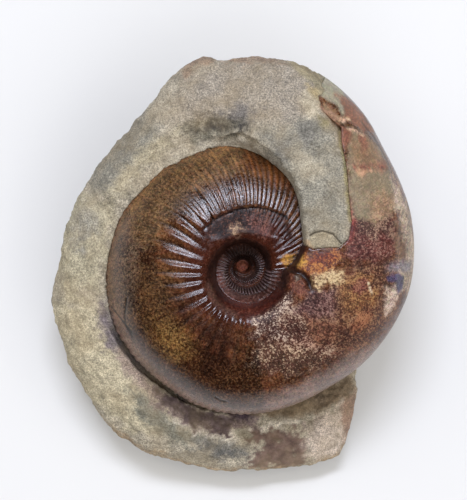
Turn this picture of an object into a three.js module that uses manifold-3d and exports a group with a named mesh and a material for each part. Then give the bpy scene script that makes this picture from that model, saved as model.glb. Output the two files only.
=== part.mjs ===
// A coiled fossil ammonite that still sits in its stone, in millimetres.
// The solids are built in the frame of the coil: u to the right and v up the face, w out of the face,
// with the innermost whorl at the origin. They are then tipped by FACE_TILT, so that the face leans
// towards -Y, and set down on the stone's flat spot, with +Z up and the middle of that spot at 0, 0, 0.
import * as THREE from "three";
import { mergeVertices } from "three/addons/utils/BufferGeometryUtils.js";
import Module from "manifold-3d";

const { degToRad, smoothstep } = THREE.MathUtils;

// Whole specimen
const FACE_TILT = degToRad(8);
const BASE_CUT_DEPTH = 31.9; // how far the flat spot lies below the coil's centre, square to the floor
const BASE_CENTRE_V = -3.7; // where the middle of the flat spot lies on the face, up the face
const BASE_CENTRE_U = -1.6;
const GAP = 0.3; // between the fossil and the stone all round

// Coil. Angles are in degrees and grow anticlockwise with the shell, from 0 on the right. The last whorl
// runs from 5 to 365, and its outer band goes on up the right side to COIL_END.
const BAND_START = 365;
const COIL_END = 428;
const BAND_STEPS = 10;
const END_DEGREES_PER_MM = 2; // at the middle of the band's broken end
const WHORL_GROWTH = 1.7; // how many times wider each inner whorl is than the one inside it
const AXIS_LEAN = [0.07, -0.13]; // how far the coil's axis drifts in u and v for each mm of w
const AXIS_FOOT = 5; // the height w at which the axis crosses u = v = 0
const VENTER = [
  [0, 35], [45, 37.3], [90, 39.7], [135, 41.2], [180, 42.6], [202, 43.6], [226, 43.7], [250, 45.2],
  [272, 45.9], [300, 46], [325, 48.6], [340, 50.5], [352, 52.2], [365, 53.3], [378, 54.5], [390, 55.4],
  [400, 56.8], [410, 59.7], [420, 62.2], [430, 64.2], [440, 65.4],
]; // radius of the outer rim of the whorl
const SHOULDER = [
  [0, 8.4], [30, 10.8], [90, 13.2], [180, 14.6], [225, 15.8], [270, 16.2], [362, 14.8], [372, 17.4],
  [380, 19.5], [388, 21.6], [397, 23.2], [406, 26], [418, 31], [428, 35], [440, 38.5],
]; // radius of the highest line of the whorl, round the umbilicus
const SEAM = [
  [0, 6], [90, 7.2], [180, 8.1], [270, 8.5], [362, 10.2], [372, 13.5], [380, 16], [388, 18.6],
  [397, 20.1], [406, 22.9], [418, 28.2], [428, 31.9], [440, 35.4],
]; // radius of the seam, where the whorl lies on the one inside it
const CREST = [
  [0, 18.5], [90, 20.5], [180, 22], [270, 23.5], [360, 25], [380, 24], [400, 23.3], [440, 22.6],
]; // height of the shoulder above the middle plane
const OUTER_SQUARENESS = [[0, 2.1], [320, 2.1], [390, 2.5], [440, 2.5]]; // 2 is an ellipse
const INNER_SQUARENESS = 2.8;
const HIDDEN_SIDE = [[0, 0.85], [385, 0.85], [428, 0.58]]; // depth below the middle, as a share of CREST
const BURIED_END = 0.9; // size of a ring that is buried in the stretch before it
const BURIED_BY = 5; // how many degrees the outer band starts inside the last whorl
const KNOB_RADIUS = 2.4; // the first chamber, in the middle of the umbilicus
const KNOB_TOP = 5.2;
const KNOB_ROOT = -2;
const KNOB_SIDES = 12;
const PLUG_RADIUS = 15; // fills the umbilicus on the hidden side
const PLUG_TOP = 1;
const PLUG_FOOT = -18;
const PLUG_SIDES = 24;

// Stretches of the inner whorls, half a turn each: from, to and the step between two rings.
const FIRST_STRETCHES = [[-1075, -895, 30], [-895, -715, 30], [-715, -535, 15], [-535, -355, 15]];
const RIBBED_STRETCHES = [[-355, -175], [-175, 5]];
const LAST_WHORL_MIDDLE = 185; // where the last whorl's two stretches meet

// Ribs
const RIBS_A_TURN = 38.5; // main ribs in one turn of the last whorl, each splitting in two
const RIBS_START = 5;
const RIB_HEIGHT = 0.7;
const RIBLET_HEIGHT = 0.5;
const RIBS_END = [215, 262]; // the ribs fade out between these angles
const RIB_LEAN = 9; // how many degrees the ribs lean forward at the rim
const RIB_LEAN_START = [0, 30]; // the lean sets in between these angles
const INNER_RIBS_A_TURN = 45;
const INNER_RIB_HEIGHT = 0.5;
const MAIN_WAVE = [1, 0.4, 0, 0.4]; // height of a main rib at each quarter of the way to the next one
const RIBLET_WAVE = [1, 0, 1, 0];

// Places round the whorl's section, in degrees: 0 at the venter, 90 on the shoulder, 180 at the seam, and
// below 0 on the hidden side. The whorls in the umbilicus show less, so they take fewer points.
const STATIONS = [-90, -58, -28, 0, 20, 38, 54, 72, 90, 112, 142, 180];
const INNER_STATIONS = [-90, 0, 60, 90, 112, 134, 156, 180];
const RIB_SPLIT = [48, 72]; // between these a main rib splits into its riblets
const RIB_FOOT = [90, 112]; // main ribs fade out on the edge of the umbilicus
const RIBLET_FOOT = [-60, -20]; // riblets fade out on the hidden side
const LEAN_RISE = [10, 75]; // ribs swing forward from the second of these to the first
const LEAN_FADE = [-90, -40];
const INNER_RIB_TOP = [60, 90];
const INNER_RIB_FOOT = [140, 175];

// Stone. Each row: angle on the face, radius of the rim, height of the rim.
const RIM = [
  [0, 47, -13], [20, 47, -13], [35, 50, -10], [45, 55, -6], [55, 58.5, -3], [64, 61.8, 5], [70, 64.4, 8],
  [76, 65.8, 8.4], [82, 65.3, 8.4], [90, 64.7, 7.9], [96, 64.8, 6.8], [100, 65.9, 6], [104, 64.8, 5.2],
  [111, 61.6, 3.7], [120, 58.3, 2], [130, 55.9, 0.6], [140, 54.7, -0.6], [150, 54.9, -2], [160, 55.5, -3.3],
  [170, 55.8, -4.6], [180, 57.8, -5.9], [190, 60.9, -6.9], [200, 60.6, -7.9], [206, 61.8, -8.5],
  [213, 62.5, -9.2], [220, 63.4, -9.9], [230, 65.9, -10.9], [240, 66.6, -11.9], [250, 65.3, -12.6],
  [260, 65.6, -13.3], [270, 65.1, -14], [280, 65.8, -14.6], [290, 67.2, -15.3], [296, 67.4, -15.7],
  [300, 65, -16], [305, 60, -15.7], [310, 55.4, -15.3], [316, 50.3, -14.9], [322, 47, -14], [335, 46, -13],
  [360, 47, -13],
];
// Each row: angle, then the radius and height of the line where the stone goes into the fossil, the width
// and height of the lip outside it, and the heights at one third, two thirds and nine tenths of the way
// out to the rim. From 10 to 70 degrees the stone is the tongue, which lies on the flank of the last whorl.
const COLLAR = [
  [0, 36, -13, 2, -13, -13, -13, -13], [10, 18.5, 11, 1.2, 23.4, 23.2, 21, 17.8],
  [20, 18.7, 12, 1.2, 23.3, 23, 21.2, 18.4], [30, 19.8, 12, 1.2, 23, 22.7, 20.8, 17.6],
  [41, 22.3, 12, 1.2, 22.7, 22.3, 20, 15.8], [55, 27.1, 11, 1.2, 22.4, 22, 19, 12],
  [66, 30.5, 11, 1.2, 22.2, 22.4, 19.9, 14.6], [75, 33, 10, 1.2, 21.8, 22, 19.4, 14.2],
  [84, 35.6, 10, 1.2, 20, 20.4, 17.6, 12.8], [91, 36.8, 9, 1.6, 16.5, 18.6, 16, 11.5],
  [105, 37.6, 9, 2.5, 11, 14.5, 13, 8.6], [120, 38.3, 9, 3, 9.5, 12, 10, 5.6],
  [150, 39.8, 8, 3, 8.2, 8, 5, 1.1], [180, 41.5, 6, 3, 5.8, 5, 2, -2.3], [210, 43.3, 1.5, 3, 2, 2, -1, -5.4],
  [240, 44.4, -4, 3, -2.5, -1.5, -4, -8.3], [270, 45.4, -8, 3, -7, -6, -8, -11.3],
  [300, 45.4, -12, 3, -11, -10, -12, -14.2], [320, 43, -14, 2, -14, -14, -14, -14],
  [360, 36, -13, 2, -13, -13, -13, -13],
];
const STONE_BACK = -34; // height of the lowest part of the back
const BACK_SQUARENESS = 2.3;
const BACK_WEDGE = 1.1; // how far the back follows the floor rather than the face
const STONE_COLUMNS = 56;
const BACK_ROWS = 5;
const CORE_RADIUS = 10; // the hole under the face narrows to this before it closes
const BED_FLOOR = 8; // width of the level ring under the contact line
const FLOOR_SIZE = 200; // of the box that cuts off what is below the flat spot
const FLOOR_DEPTH = 40;

// Outline of the tongue of stone that lies on the flank of the last whorl, in u and v. It runs up the
// seam on the left, round the stone above, and back down the edge of the shell band on the right.
const TONGUE = [
  [15.5, 7], [14, 14], [12.5, 21], [9.5, 26], [5, 30], [0, 33], [-4, 48], [-6, 70], [28, 70], [25.5, 58],
  [22.5, 53], [22.8, 48.5], [26, 45], [29.7, 42], [29.8, 36.6], [31.1, 30.2], [31.8, 21.7], [32.6, 13.4],
  [31.7, 8.3], [28.8, 5.7], [25.4, 5.7], [21.2, 5.3], [18.2, 6.4],
];
const TONGUE_TOP = 40; // the outline is taken up to here, above everything

const wasm = await Module();
wasm.setup();

// A smooth curve through rows of [position, value], level before the first and after the last. Between
// two rows it never goes past either of them.
function curveThrough(rows, column = 1) {
  const last = rows.length - 1;
  const rises = rows.slice(1).map((row, i) => (row[column] - rows[i][column]) / (row[0] - rows[i][0]));
  const slopes = rows.map((_, i) => {
    const before = rises[Math.max(i - 1, 0)];
    const after = rises[Math.min(i, last - 1)];
    if (before * after <= 0) return 0;
    const steepest = 2 * Math.min(Math.abs(before), Math.abs(after));
    return Math.sign(before) * Math.min(Math.abs(before + after) / 2, steepest);
  });
  return (x) => {
    if (x <= rows[0][0]) return rows[0][column];
    if (x >= rows[last][0]) return rows[last][column];
    let i = 0;
    while (x > rows[i + 1][0]) i += 1;
    const span = rows[i + 1][0] - rows[i][0];
    const t = (x - rows[i][0]) / span;
    const rise = rows[i + 1][column] - rows[i][column];
    const startPull = slopes[i] * span - rise;
    const endPull = rise - slopes[i + 1] * span;
    return rows[i][column] + rise * t + t * (1 - t) * (startPull * (1 - t) + endPull * t);
  };
}

// A measure of the coil by angle: from its curve in the last whorl, and shrinking whorl by whorl inside.
function coilMeasure(rows) {
  const curve = curveThrough(rows);
  return (angle) => (angle >= 0 ? curve(angle) : curve(0) * WHORL_GROWTH ** (angle / 360));
}

const venter = coilMeasure(VENTER);
const shoulder = coilMeasure(SHOULDER);
const seam = coilMeasure(SEAM);
const crest = coilMeasure(CREST);
const outerSquareness = curveThrough(OUTER_SQUARENESS);
const hiddenSide = curveThrough(HIDDEN_SIDE);

function toSolid(geometry) {
  geometry.deleteAttribute("normal");
  geometry.deleteAttribute("uv");
  const merged = mergeVertices(geometry, 1e-4);
  return new wasm.Manifold(new wasm.Mesh({
    numProp: 3,
    vertProperties: new Float32Array(merged.getAttribute("position").array),
    triVerts: new Uint32Array(merged.getIndex().array),
  }));
}

function toGeometry(solid) {
  const mesh = solid.getMesh();
  const geometry = new THREE.BufferGeometry();
  geometry.setAttribute("position", new THREE.BufferAttribute(new Float32Array(mesh.vertProperties), 3));
  geometry.setIndex(new THREE.BufferAttribute(new Uint32Array(mesh.triVerts), 1));
  return geometry;
}

// A closed skin over rings of points that all have the same count. Each end is closed by a fan.
function skinOver(rings) {
  const count = rings[0].length;
  const points = rings.flat();
  const faces = [];
  for (let i = 0; i + 1 < rings.length; i += 1) {
    for (let j = 0; j < count; j += 1) {
      const a = i * count + j;
      const b = i * count + (j + 1) % count;
      faces.push(a, a + count, b, b, a + count, b + count);
    }
  }
  const ends = [rings[0], rings[rings.length - 1]];
  ends.forEach((ring, end) => {
    const middle = new THREE.Vector3();
    ring.forEach((point) => middle.addScaledVector(point, 1 / count));
    const start = end === 0 ? 0 : (rings.length - 1) * count;
    for (let j = 0; j < count; j += 1) {
      const a = start + j;
      const b = start + (j + 1) % count;
      faces.push(...(end === 0 ? [a, b, points.length] : [b, a, points.length]));
    }
    points.push(middle);
  });
  const geometry = new THREE.BufferGeometry().setFromPoints(points);
  geometry.setIndex(faces);
  return geometry;
}

// Height of the ribs on the last whorl. The quarter is 0 on a main rib, and each main rib is two riblets.
function lastWhorlRib(angle, station, quarter) {
  const fade = 1 - smoothstep(angle, ...RIBS_END);
  const split = smoothstep(station, ...RIB_SPLIT);
  const main = split * (1 - smoothstep(station, ...RIB_FOOT)) * MAIN_WAVE[quarter & 3];
  const riblet = (1 - split) * smoothstep(station, ...RIBLET_FOOT) * RIBLET_WAVE[quarter & 3];
  return fade * (RIB_HEIGHT * main + RIBLET_HEIGHT * riblet);
}

// Height of the short ribs on the whorls in the umbilicus.
function innerWhorlRib(angle, station, quarter) {
  const band = smoothstep(station, ...INNER_RIB_TOP) * (1 - smoothstep(station, ...INNER_RIB_FOOT));
  return INNER_RIB_HEIGHT * WHORL_GROWTH ** (angle / 360) * band * (quarter & 1 ? 0 : 1);
}

// How far forward a rib has swung, in degrees, by the time that it gets to this station.
function ribLean(angle, station) {
  const fade = smoothstep(angle, ...RIB_LEAN_START) * (1 - smoothstep(angle, ...RIBS_END));
  const outwards = 1 - smoothstep(station, ...LEAN_RISE);
  return RIB_LEAN * fade * outwards * smoothstep(station, ...LEAN_FADE);
}

// One ring of points round the whorl at this angle, grown outwards by the given distance.
function whorlRing(angle, quarter, stations, rib, grow, scale = 1) {
  const outer = venter(angle) - shoulder(angle);
  const inner = shoulder(angle) - seam(angle);
  const high = crest(angle);
  return stations.map((station) => {
    const turn = degToRad(station);
    const cos = Math.cos(turn);
    const sin = Math.sin(turn);
    const isOuter = station <= 90;
    const reach = isOuter ? outer : inner;
    const depth = sin < 0 ? high * hiddenSide(angle) : high;
    const power = 2 / (isOuter ? outerSquareness(angle) : INNER_SQUARENESS);
    const across = Math.sign(cos) * Math.abs(cos) ** power;
    const along = Math.sign(sin) * Math.abs(sin) ** power;
    const facing = new THREE.Vector2(
      Math.sign(cos) * Math.abs(cos) ** (2 - power) / reach,
      Math.sign(sin) * Math.abs(sin) ** (2 - power) / depth,
    ).normalize();
    const lift = grow + rib(angle, station, quarter);
    const radius = shoulder(angle) + reach * across * scale + facing.x * lift;
    const w = depth * along * scale + facing.y * lift;
    const heading = degToRad(angle + ribLean(angle, station));
    return new THREE.Vector3(
      radius * Math.cos(heading) + AXIS_LEAN[0] * (w - AXIS_FOOT),
      radius * Math.sin(heading) + AXIS_LEAN[1] * (w - AXIS_FOOT),
      w,
    );
  });
}

// A stretch of the coil as one closed solid. Its first ring is smaller and buried in the stretch before.
function coilStretch(from, to, step, stations, rib, grow, smoothFrom = Infinity) {
  const rings = [whorlRing(from - step, 0, stations, rib, grow, BURIED_END)];
  const first = Math.round((from - RIBS_START) / step);
  const last = Math.round((to - RIBS_START) / step);
  for (let quarter = first; quarter <= last; quarter += 1) {
    const angle = RIBS_START + quarter * step;
    const kept = angle < smoothFrom || (quarter & 3) === 0 || quarter === last;
    if (kept) rings.push(whorlRing(angle, quarter, stations, rib, grow));
  }
  return toSolid(skinOver(rings));
}

// The coil up to the end of the last whorl, without the outer band. Each stretch is half a turn.
function coil(grow) {
  const ribStep = 360 / RIBS_A_TURN / 4;
  const innerStep = 360 / INNER_RIBS_A_TURN / 2;
  const inner = (from, to, step) => coilStretch(from, to, step, INNER_STATIONS, innerWhorlRib, grow);
  const pieces = [
    ...FIRST_STRETCHES.map(([from, to, step]) => inner(from, to, step)),
    ...RIBBED_STRETCHES.map(([from, to]) => inner(from, to, innerStep)),
    coilStretch(RIBS_START, LAST_WHORL_MIDDLE, ribStep, STATIONS, lastWhorlRib, grow),
    coilStretch(LAST_WHORL_MIDDLE, BAND_START, ribStep, STATIONS, lastWhorlRib, grow, RIBS_END[1]),
  ];
  const knobHalf = (KNOB_TOP - KNOB_ROOT) / 2;
  const knob = new THREE.SphereGeometry(1, KNOB_SIDES, KNOB_SIDES * 2 / 3).rotateX(Math.PI / 2);
  knob.scale(KNOB_RADIUS + grow, KNOB_RADIUS + grow, knobHalf + grow);
  pieces.push(toSolid(knob.translate(0, 0, KNOB_ROOT + knobHalf)));
  const plugWidth = PLUG_RADIUS + grow;
  const plugHeight = PLUG_TOP - PLUG_FOOT + grow;
  const plug = new THREE.CylinderGeometry(plugWidth, plugWidth, plugHeight, PLUG_SIDES).rotateX(Math.PI / 2);
  pieces.push(toSolid(plug.translate(0, 0, PLUG_TOP - plugHeight / 2)));
  return pieces.reduce((whole, piece) => whole.add(piece));
}

// The band of the last whorl that goes on up the right side, with its broken end grown too.
function outerBand(grow) {
  const noRib = () => 0;
  const rings = [whorlRing(BAND_START - BURIED_BY, 0, STATIONS, noRib, grow, BURIED_END)];
  for (let step = 0; step <= BAND_STEPS; step += 1) {
    const angle = BAND_START + (COIL_END - BAND_START) * step / BAND_STEPS;
    rings.push(whorlRing(angle, 0, STATIONS, noRib, grow));
  }
  if (grow > 0) rings.push(whorlRing(COIL_END + grow * END_DEGREES_PER_MM, 0, STATIONS, noRib, grow));
  return toSolid(skinOver(rings));
}

// The tongue's outline as an upright prism, pulled in by the given distance.
function tonguePrism(pulledIn) {
  const points = TONGUE.map(([u, v]) => new THREE.Vector2(u, v));
  const inwards = THREE.ShapeUtils.isClockWise(points) ? -pulledIn : pulledIn;
  const corners = points.map((point, i) => {
    const before = points[(i + points.length - 1) % points.length];
    const after = points[(i + 1) % points.length];
    const along = after.clone().sub(before).normalize();
    return new THREE.Vector2(point.x - along.y * inwards, point.y + along.x * inwards);
  });
  const upright = { depth: TONGUE_TOP - pulledIn, bevelEnabled: false };
  const prism = new THREE.ExtrudeGeometry(new THREE.Shape(corners), upright);
  return toSolid(prism.translate(0, 0, pulledIn));
}

// The stone before the fossil is cut out of it: rings from the middle of the face, out over the collar
// to the rim, and round the back to its lowest point.
function stoneBlock() {
  const rimRadius = curveThrough(RIM, 1);
  const rimHeight = curveThrough(RIM, 2);
  const [contactRadius, contactHeight, lipWidth, lipHeight, firstThird, secondThird, nineTenths] = (
    [1, 2, 3, 4, 5, 6, 7].map((column) => curveThrough(COLLAR, column))
  );
  const profile = (angle) => {
    const contact = contactRadius(angle);
    const lip = contact + lipWidth(angle);
    const rim = rimRadius(angle);
    const low = Math.min(contactHeight(angle), 0);
    const points = [
      [CORE_RADIUS, low],
      [contact - BED_FLOOR, contactHeight(angle)],
      [contact, contactHeight(angle)],
      [lip, lipHeight(angle)],
      [lip + (rim - lip) / 3, firstThird(angle)],
      [lip + (rim - lip) * 2 / 3, secondThird(angle)],
      [lip + (rim - lip) * 9 / 10, nineTenths(angle)],
      [rim, rimHeight(angle)],
    ];
    for (let row = 1; row < BACK_ROWS; row += 1) {
      const turn = row / BACK_ROWS * Math.PI / 2;
      const across = Math.cos(turn) ** (2 / BACK_SQUARENESS);
      const down = Math.sin(turn) ** (2 / BACK_SQUARENESS);
      const v = rim * across * Math.sin(degToRad(angle));
      const wedge = v * Math.tan(FACE_TILT) * BACK_WEDGE * down;
      points.push([rim * across, rimHeight(angle) + (STONE_BACK - rimHeight(angle)) * down - wedge]);
    }
    return points;
  };
  const columns = [];
  for (let column = 0; column < STONE_COLUMNS; column += 1) {
    const angle = column / STONE_COLUMNS * 360;
    const heading = degToRad(angle);
    columns.push(profile(angle).map(
      ([radius, w]) => new THREE.Vector3(radius * Math.cos(heading), radius * Math.sin(heading), w),
    ));
  }
  const rings = columns[0].map((_, row) => columns.map((column) => column[row]));
  return toSolid(skinOver(rings));
}

// From the frame of the coil to the frame of the part.
const settle = new THREE.Matrix4().makeRotationX(FACE_TILT);
const baseW = (-BASE_CUT_DEPTH - BASE_CENTRE_V * Math.sin(FACE_TILT)) / Math.cos(FACE_TILT);
const baseCentre = new THREE.Vector3(BASE_CENTRE_U, BASE_CENTRE_V, baseW).applyMatrix4(settle);
settle.premultiply(new THREE.Matrix4().makeTranslation(-baseCentre.x, -baseCentre.y, -baseCentre.z));

// Everything below the flat spot, in the frame of the part.
const floorBox = new THREE.BoxGeometry(FLOOR_SIZE, FLOOR_SIZE, FLOOR_DEPTH);
const below = toSolid(floorBox.translate(0, 0, -FLOOR_DEPTH / 2));

const fossil = coil(0).add(outerBand(0).subtract(tonguePrism(0)));
const bed = coil(GAP).add(outerBand(GAP).subtract(tonguePrism(GAP)));
const stone = stoneBlock().subtract(bed);

const specimen = new THREE.Group();

const fossilShell = new THREE.MeshStandardMaterial({ color: "#5a3422", roughness: 0.35, metalness: 0 });
const ammonite = new THREE.Mesh(toGeometry(fossil).applyMatrix4(settle), fossilShell);
ammonite.name = "ammonite";
specimen.add(ammonite);

const sandstone = new THREE.MeshStandardMaterial({ color: "#a39c87", roughness: 0.95, metalness: 0 });
const settledStone = toSolid(toGeometry(stone).applyMatrix4(settle)).subtract(below);
const matrix = new THREE.Mesh(toGeometry(settledStone), sandstone);
matrix.name = "stone";
specimen.add(matrix);

export default specimen;
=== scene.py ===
# A fossil ammonite in the stone that it was found in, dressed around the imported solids. Sizes are in
# millimetres in the frame of the coil: u runs to the right and v up the face, w comes out of the face,
# and the innermost chamber is at 0, 0, 0. settled() takes points from there to the frame of the part.
import itertools
import math

import bpy
import numpy as np
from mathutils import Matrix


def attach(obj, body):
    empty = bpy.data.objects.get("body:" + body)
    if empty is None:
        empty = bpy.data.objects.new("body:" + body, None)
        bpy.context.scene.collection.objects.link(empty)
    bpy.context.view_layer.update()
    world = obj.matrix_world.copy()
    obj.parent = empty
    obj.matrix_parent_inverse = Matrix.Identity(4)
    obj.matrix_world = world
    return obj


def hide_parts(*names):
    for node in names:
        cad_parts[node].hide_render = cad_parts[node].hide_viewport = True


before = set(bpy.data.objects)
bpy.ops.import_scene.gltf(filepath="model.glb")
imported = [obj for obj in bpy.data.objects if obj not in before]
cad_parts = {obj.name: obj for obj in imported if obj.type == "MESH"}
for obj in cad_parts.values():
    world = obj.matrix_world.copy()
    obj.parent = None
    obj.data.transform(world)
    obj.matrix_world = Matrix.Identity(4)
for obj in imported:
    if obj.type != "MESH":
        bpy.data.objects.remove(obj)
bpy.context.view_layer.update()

# The fossil shell: one coil of brown calcite, seen on its umbilicus. Each whorl is swept round the axis
# as a skin of rings, the whorls are fused into one solid, and the outer band of the last whorl, which
# goes on up the right side, is cut along the edge of the tongue of stone that lies on it.
FACE_TILT = math.radians(8)
FACE_ORIGIN = (1.6, -0.746, 31.9)  # where the innermost chamber lies in the frame of the part

BAND_START = 365
COIL_END = 428
WHORL_GROWTH = 1.7
AXIS_LEAN = (0.07, -0.13)
AXIS_FOOT = 5
INNER_SQUARENESS = 2.8
END_DEGREES_PER_MM = 2
BED_GAP = 0.12  # between the coil and the stone that holds it
BAND_GAP = 0.03  # between the outer band and the stone round it
VENTER = [
    [0, 35], [45, 37.3], [90, 39.7], [135, 41.2], [180, 42.6], [202, 43.6], [226, 43.7], [250, 45.2],
    [272, 45.9], [300, 46], [325, 48.6], [340, 50.5], [352, 52.2], [365, 53.3], [378, 54.5], [390, 55.4],
    [400, 56.8], [410, 59.7], [420, 62.2], [430, 64.2], [440, 65.4],
]  # coil angle in degrees, then the radius of the outer rim of the whorl
SHOULDER = [
    [0, 8.4], [30, 10.8], [90, 13.2], [180, 14.6], [225, 15.8], [270, 16.2], [362, 14.8], [372, 17.4],
    [380, 19.5], [388, 21.6], [397, 23.2], [406, 26], [418, 31], [428, 35], [440, 38.5],
]  # radius of the highest line of the whorl, round the umbilicus
SEAM = [
    [0, 6], [90, 7.2], [180, 8.1], [270, 8.5], [362, 10.2], [372, 13.5], [380, 16], [388, 18.6],
    [397, 20.1], [406, 22.9], [418, 28.2], [428, 31.9], [440, 35.4],
]  # radius of the seam, where the whorl lies on the one inside it
CREST = [
    [0, 18.5], [90, 20.5], [180, 22], [270, 23.5], [360, 25], [380, 24], [400, 23.3], [440, 22.6],
]  # height of the shoulder above the middle plane
OUTER_SQUARENESS = [[0, 2.1], [320, 2.1], [390, 2.5], [440, 2.5]]
HIDDEN_SIDE = [[0, 0.85], [385, 0.85], [428, 0.58]]
TONGUE = [
    (15.5, 7), (14, 14), (12.5, 21), (9.5, 26), (5, 30), (0, 33), (-4, 48), (-6, 70), (28, 70), (25.5, 58),
    (22.5, 53), (22.8, 48.5), (26, 45), (29.7, 42), (29.8, 36.6), (31.1, 30.2), (31.8, 21.7), (32.6, 13.4),
    (31.7, 8.3), (28.8, 5.7), (25.4, 5.7), (21.2, 5.3), (18.2, 6.4),
]  # outline of the tongue of stone, in u and v
TONGUE_TOP = 40


def curve_through(rows, column=1):
    """A smooth curve through rows of [position, value]. Between two rows it never goes past them."""
    x = np.array([row[0] for row in rows], float)
    y = np.array([row[column] for row in rows], float)
    rises = np.diff(y) / np.diff(x)
    before = np.concatenate([rises[:1], rises])
    after = np.concatenate([rises, rises[-1:]])
    steepest = 2 * np.minimum(abs(before), abs(after))
    slopes = np.sign(before) * np.minimum(abs(before + after) / 2, steepest) * (before * after > 0)

    def curve(at):
        at = np.clip(at, x[0], x[-1])
        i = np.clip(np.searchsorted(x, at, side="right") - 1, 0, len(x) - 2)
        span = x[i + 1] - x[i]
        t = (at - x[i]) / span
        rise = y[i + 1] - y[i]
        start_pull = slopes[i] * span - rise
        end_pull = rise - slopes[i + 1] * span
        return y[i] + rise * t + t * (1 - t) * (start_pull * (1 - t) + end_pull * t)

    return curve


def coil_measure(rows):
    """A measure by coil angle: from its curve in the last whorl, and smaller whorl by whorl inside."""
    curve = curve_through(rows)
    return lambda angle: np.where(angle >= 0, curve(angle), curve(0) * WHORL_GROWTH ** (angle / 360))


def step(value, low, high):
    """0 below low, 1 above high, and a smooth step between."""
    t = np.clip((value - low) / (high - low), 0, 1)
    return t * t * (3 - 2 * t)


def settled(points):
    """Takes points from the frame of the coil, in mm, to the frame of the part, in metres."""
    u, v, w = points.T
    cos = math.cos(FACE_TILT)
    sin = math.sin(FACE_TILT)
    turned = np.stack([u, v * cos - w * sin, w * cos + v * sin], axis=1)
    return (turned + FACE_ORIGIN) / 1000


venter = coil_measure(VENTER)
shoulder = coil_measure(SHOULDER)
seam = coil_measure(SEAM)
crest = coil_measure(CREST)
outer_squareness = curve_through(OUTER_SQUARENESS)
hidden_side = curve_through(HIDDEN_SIDE)

# Ribs, in coil degrees and mm. Each main rib starts as a swelling at the umbilicus and splits on the
# flank, in two on the youngest part of the whorl and in three further on.
RIBS_START = 5
RIB_SPACING = 360 / 38.5
THREES_FROM = 6  # the main rib from which each one splits in three
RIB_LEAN = 9
SPLIT_PLACE = curve_through([[100, 84], [130, 76], [148, 60], [168, 66], [190, 74]])
SPLIT_HALF_WIDTH = 7
MAIN_HEIGHT = curve_through([
    [5, 0.5], [42, 0.5], [56, 0.2], [96, 0.2], [114, 0.45], [150, 0.62], [190, 0.55], [240, 0.6], [262, 0.55],
    [280, 0],
])
RIBLET_HEIGHT = curve_through([
    [5, 0.42], [56, 0.4], [72, 0.24], [112, 0.2], [126, 0.14], [150, 0.1], [225, 0.08], [262, 0],
])
EDGE_HEIGHT = curve_through([
    [5, 0.35], [60, 0.35], [75, 0.2], [140, 0.2], [195, 0.45], [262, 0.45], [292, 0],
])
RIB_FOOT = curve_through([
    [38, 104], [54, 87], [122, 88], [145, 92], [170, 101], [190, 104], [225, 108], [262, 112],
])  # the station where each rib starts
RIB_FOOT_FADE = 20
RIBS_END = 300
INNER_RIB_SPACING = 360 / 45
INNER_RIB_HEIGHT = 0.55
INNER_RIB_TOP = curve_through([[-200, 84], [-90, 96], [-30, 89]])  # the station where each starts


def last_whorl_ribs(angle, station):
    """How high the ribs of the last whorl stand, in mm."""
    drift = 0.15 * np.sin(np.radians(angle * 3.1)) + 0.1 * np.sin(np.radians(angle * 7.7 + 40))
    phase = (angle - RIBS_START) / RIB_SPACING + drift
    split = SPLIT_PLACE(angle)
    spread = 1 - step(station, split - SPLIT_HALF_WIDTH, split + SPLIT_HALF_WIDTH)
    wave = np.zeros_like(phase * station)
    for neighbour, part in itertools.product((-1, 0, 1, 2), (0, 1, 2)):
        rib = np.floor(phase) + neighbour
        parts = np.where(rib < THREES_FROM, 2, 3)
        place = rib + spread * (part + 0.5 - parts / 2) / parts
        width = 0.3 * (1 - spread) + spread * 0.34 / parts
        vigour = 0.78 + 0.22 * np.sin(rib * 12.99 + part * 4.1)
        ridge = vigour * np.exp(-(abs((phase - place) / width) ** (2 + 1.6 * spread)))
        wave = np.maximum(wave, np.where(part < parts, ridge, 0))
    foot = 1 - step(station, RIB_FOOT(angle) - RIB_FOOT_FADE, RIB_FOOT(angle))
    side = step(station, -62, -25)
    edge = (1 - step(station, 8, 30)) * EDGE_HEIGHT(angle)
    height = (1 - spread) * foot * MAIN_HEIGHT(angle) + spread * side * np.maximum(RIBLET_HEIGHT(angle), edge)
    return height * wave * (angle < RIBS_END)


def inner_whorl_ribs(angle, station):
    """How high the short ribs of the whorls in the umbilicus stand, in mm."""
    phase = (angle + step(station, 100, 60) * 3) / INNER_RIB_SPACING
    wave = np.exp(-(((phase - np.round(phase)) / 0.27) ** 2))
    top = INNER_RIB_TOP(angle)
    band = step(station, top - 6, top + 5) * (1 - step(station, 128, 160))
    return INNER_RIB_HEIGHT * WHORL_GROWTH ** (angle / 360) * band * wave


def no_ribs(angle, station):
    return np.zeros_like(angle * station)


def rib_lean(angle, station):
    """How far forward a rib has swung, in degrees, by the time that it gets to this station."""
    fade = step(angle, 0, 30) * (1 - step(angle, 215, 262))
    return RIB_LEAN * fade * (1 - step(station, 10, 75)) * step(station, -90, -40)


def whorl_measures(angle, is_outer, is_hidden):
    """How square the section of the whorl is, and how far it reaches across and out of the face."""
    power = np.where(is_outer, outer_squareness(angle), INNER_SQUARENESS)
    reach = np.where(is_outer, venter(angle) - shoulder(angle), shoulder(angle) - seam(angle))
    depth = crest(angle) * np.where(is_hidden, hidden_side(angle), 1)
    return power, reach, depth


def station_of(across, along, power):
    """Where a point lies round the section: 0 at the venter, 90 at the shoulder, 180 at the seam."""
    return np.degrees(np.arctan2(
        np.sign(along) * abs(along) ** (power / 2), np.sign(across) * abs(across) ** (power / 2)
    ))


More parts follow.
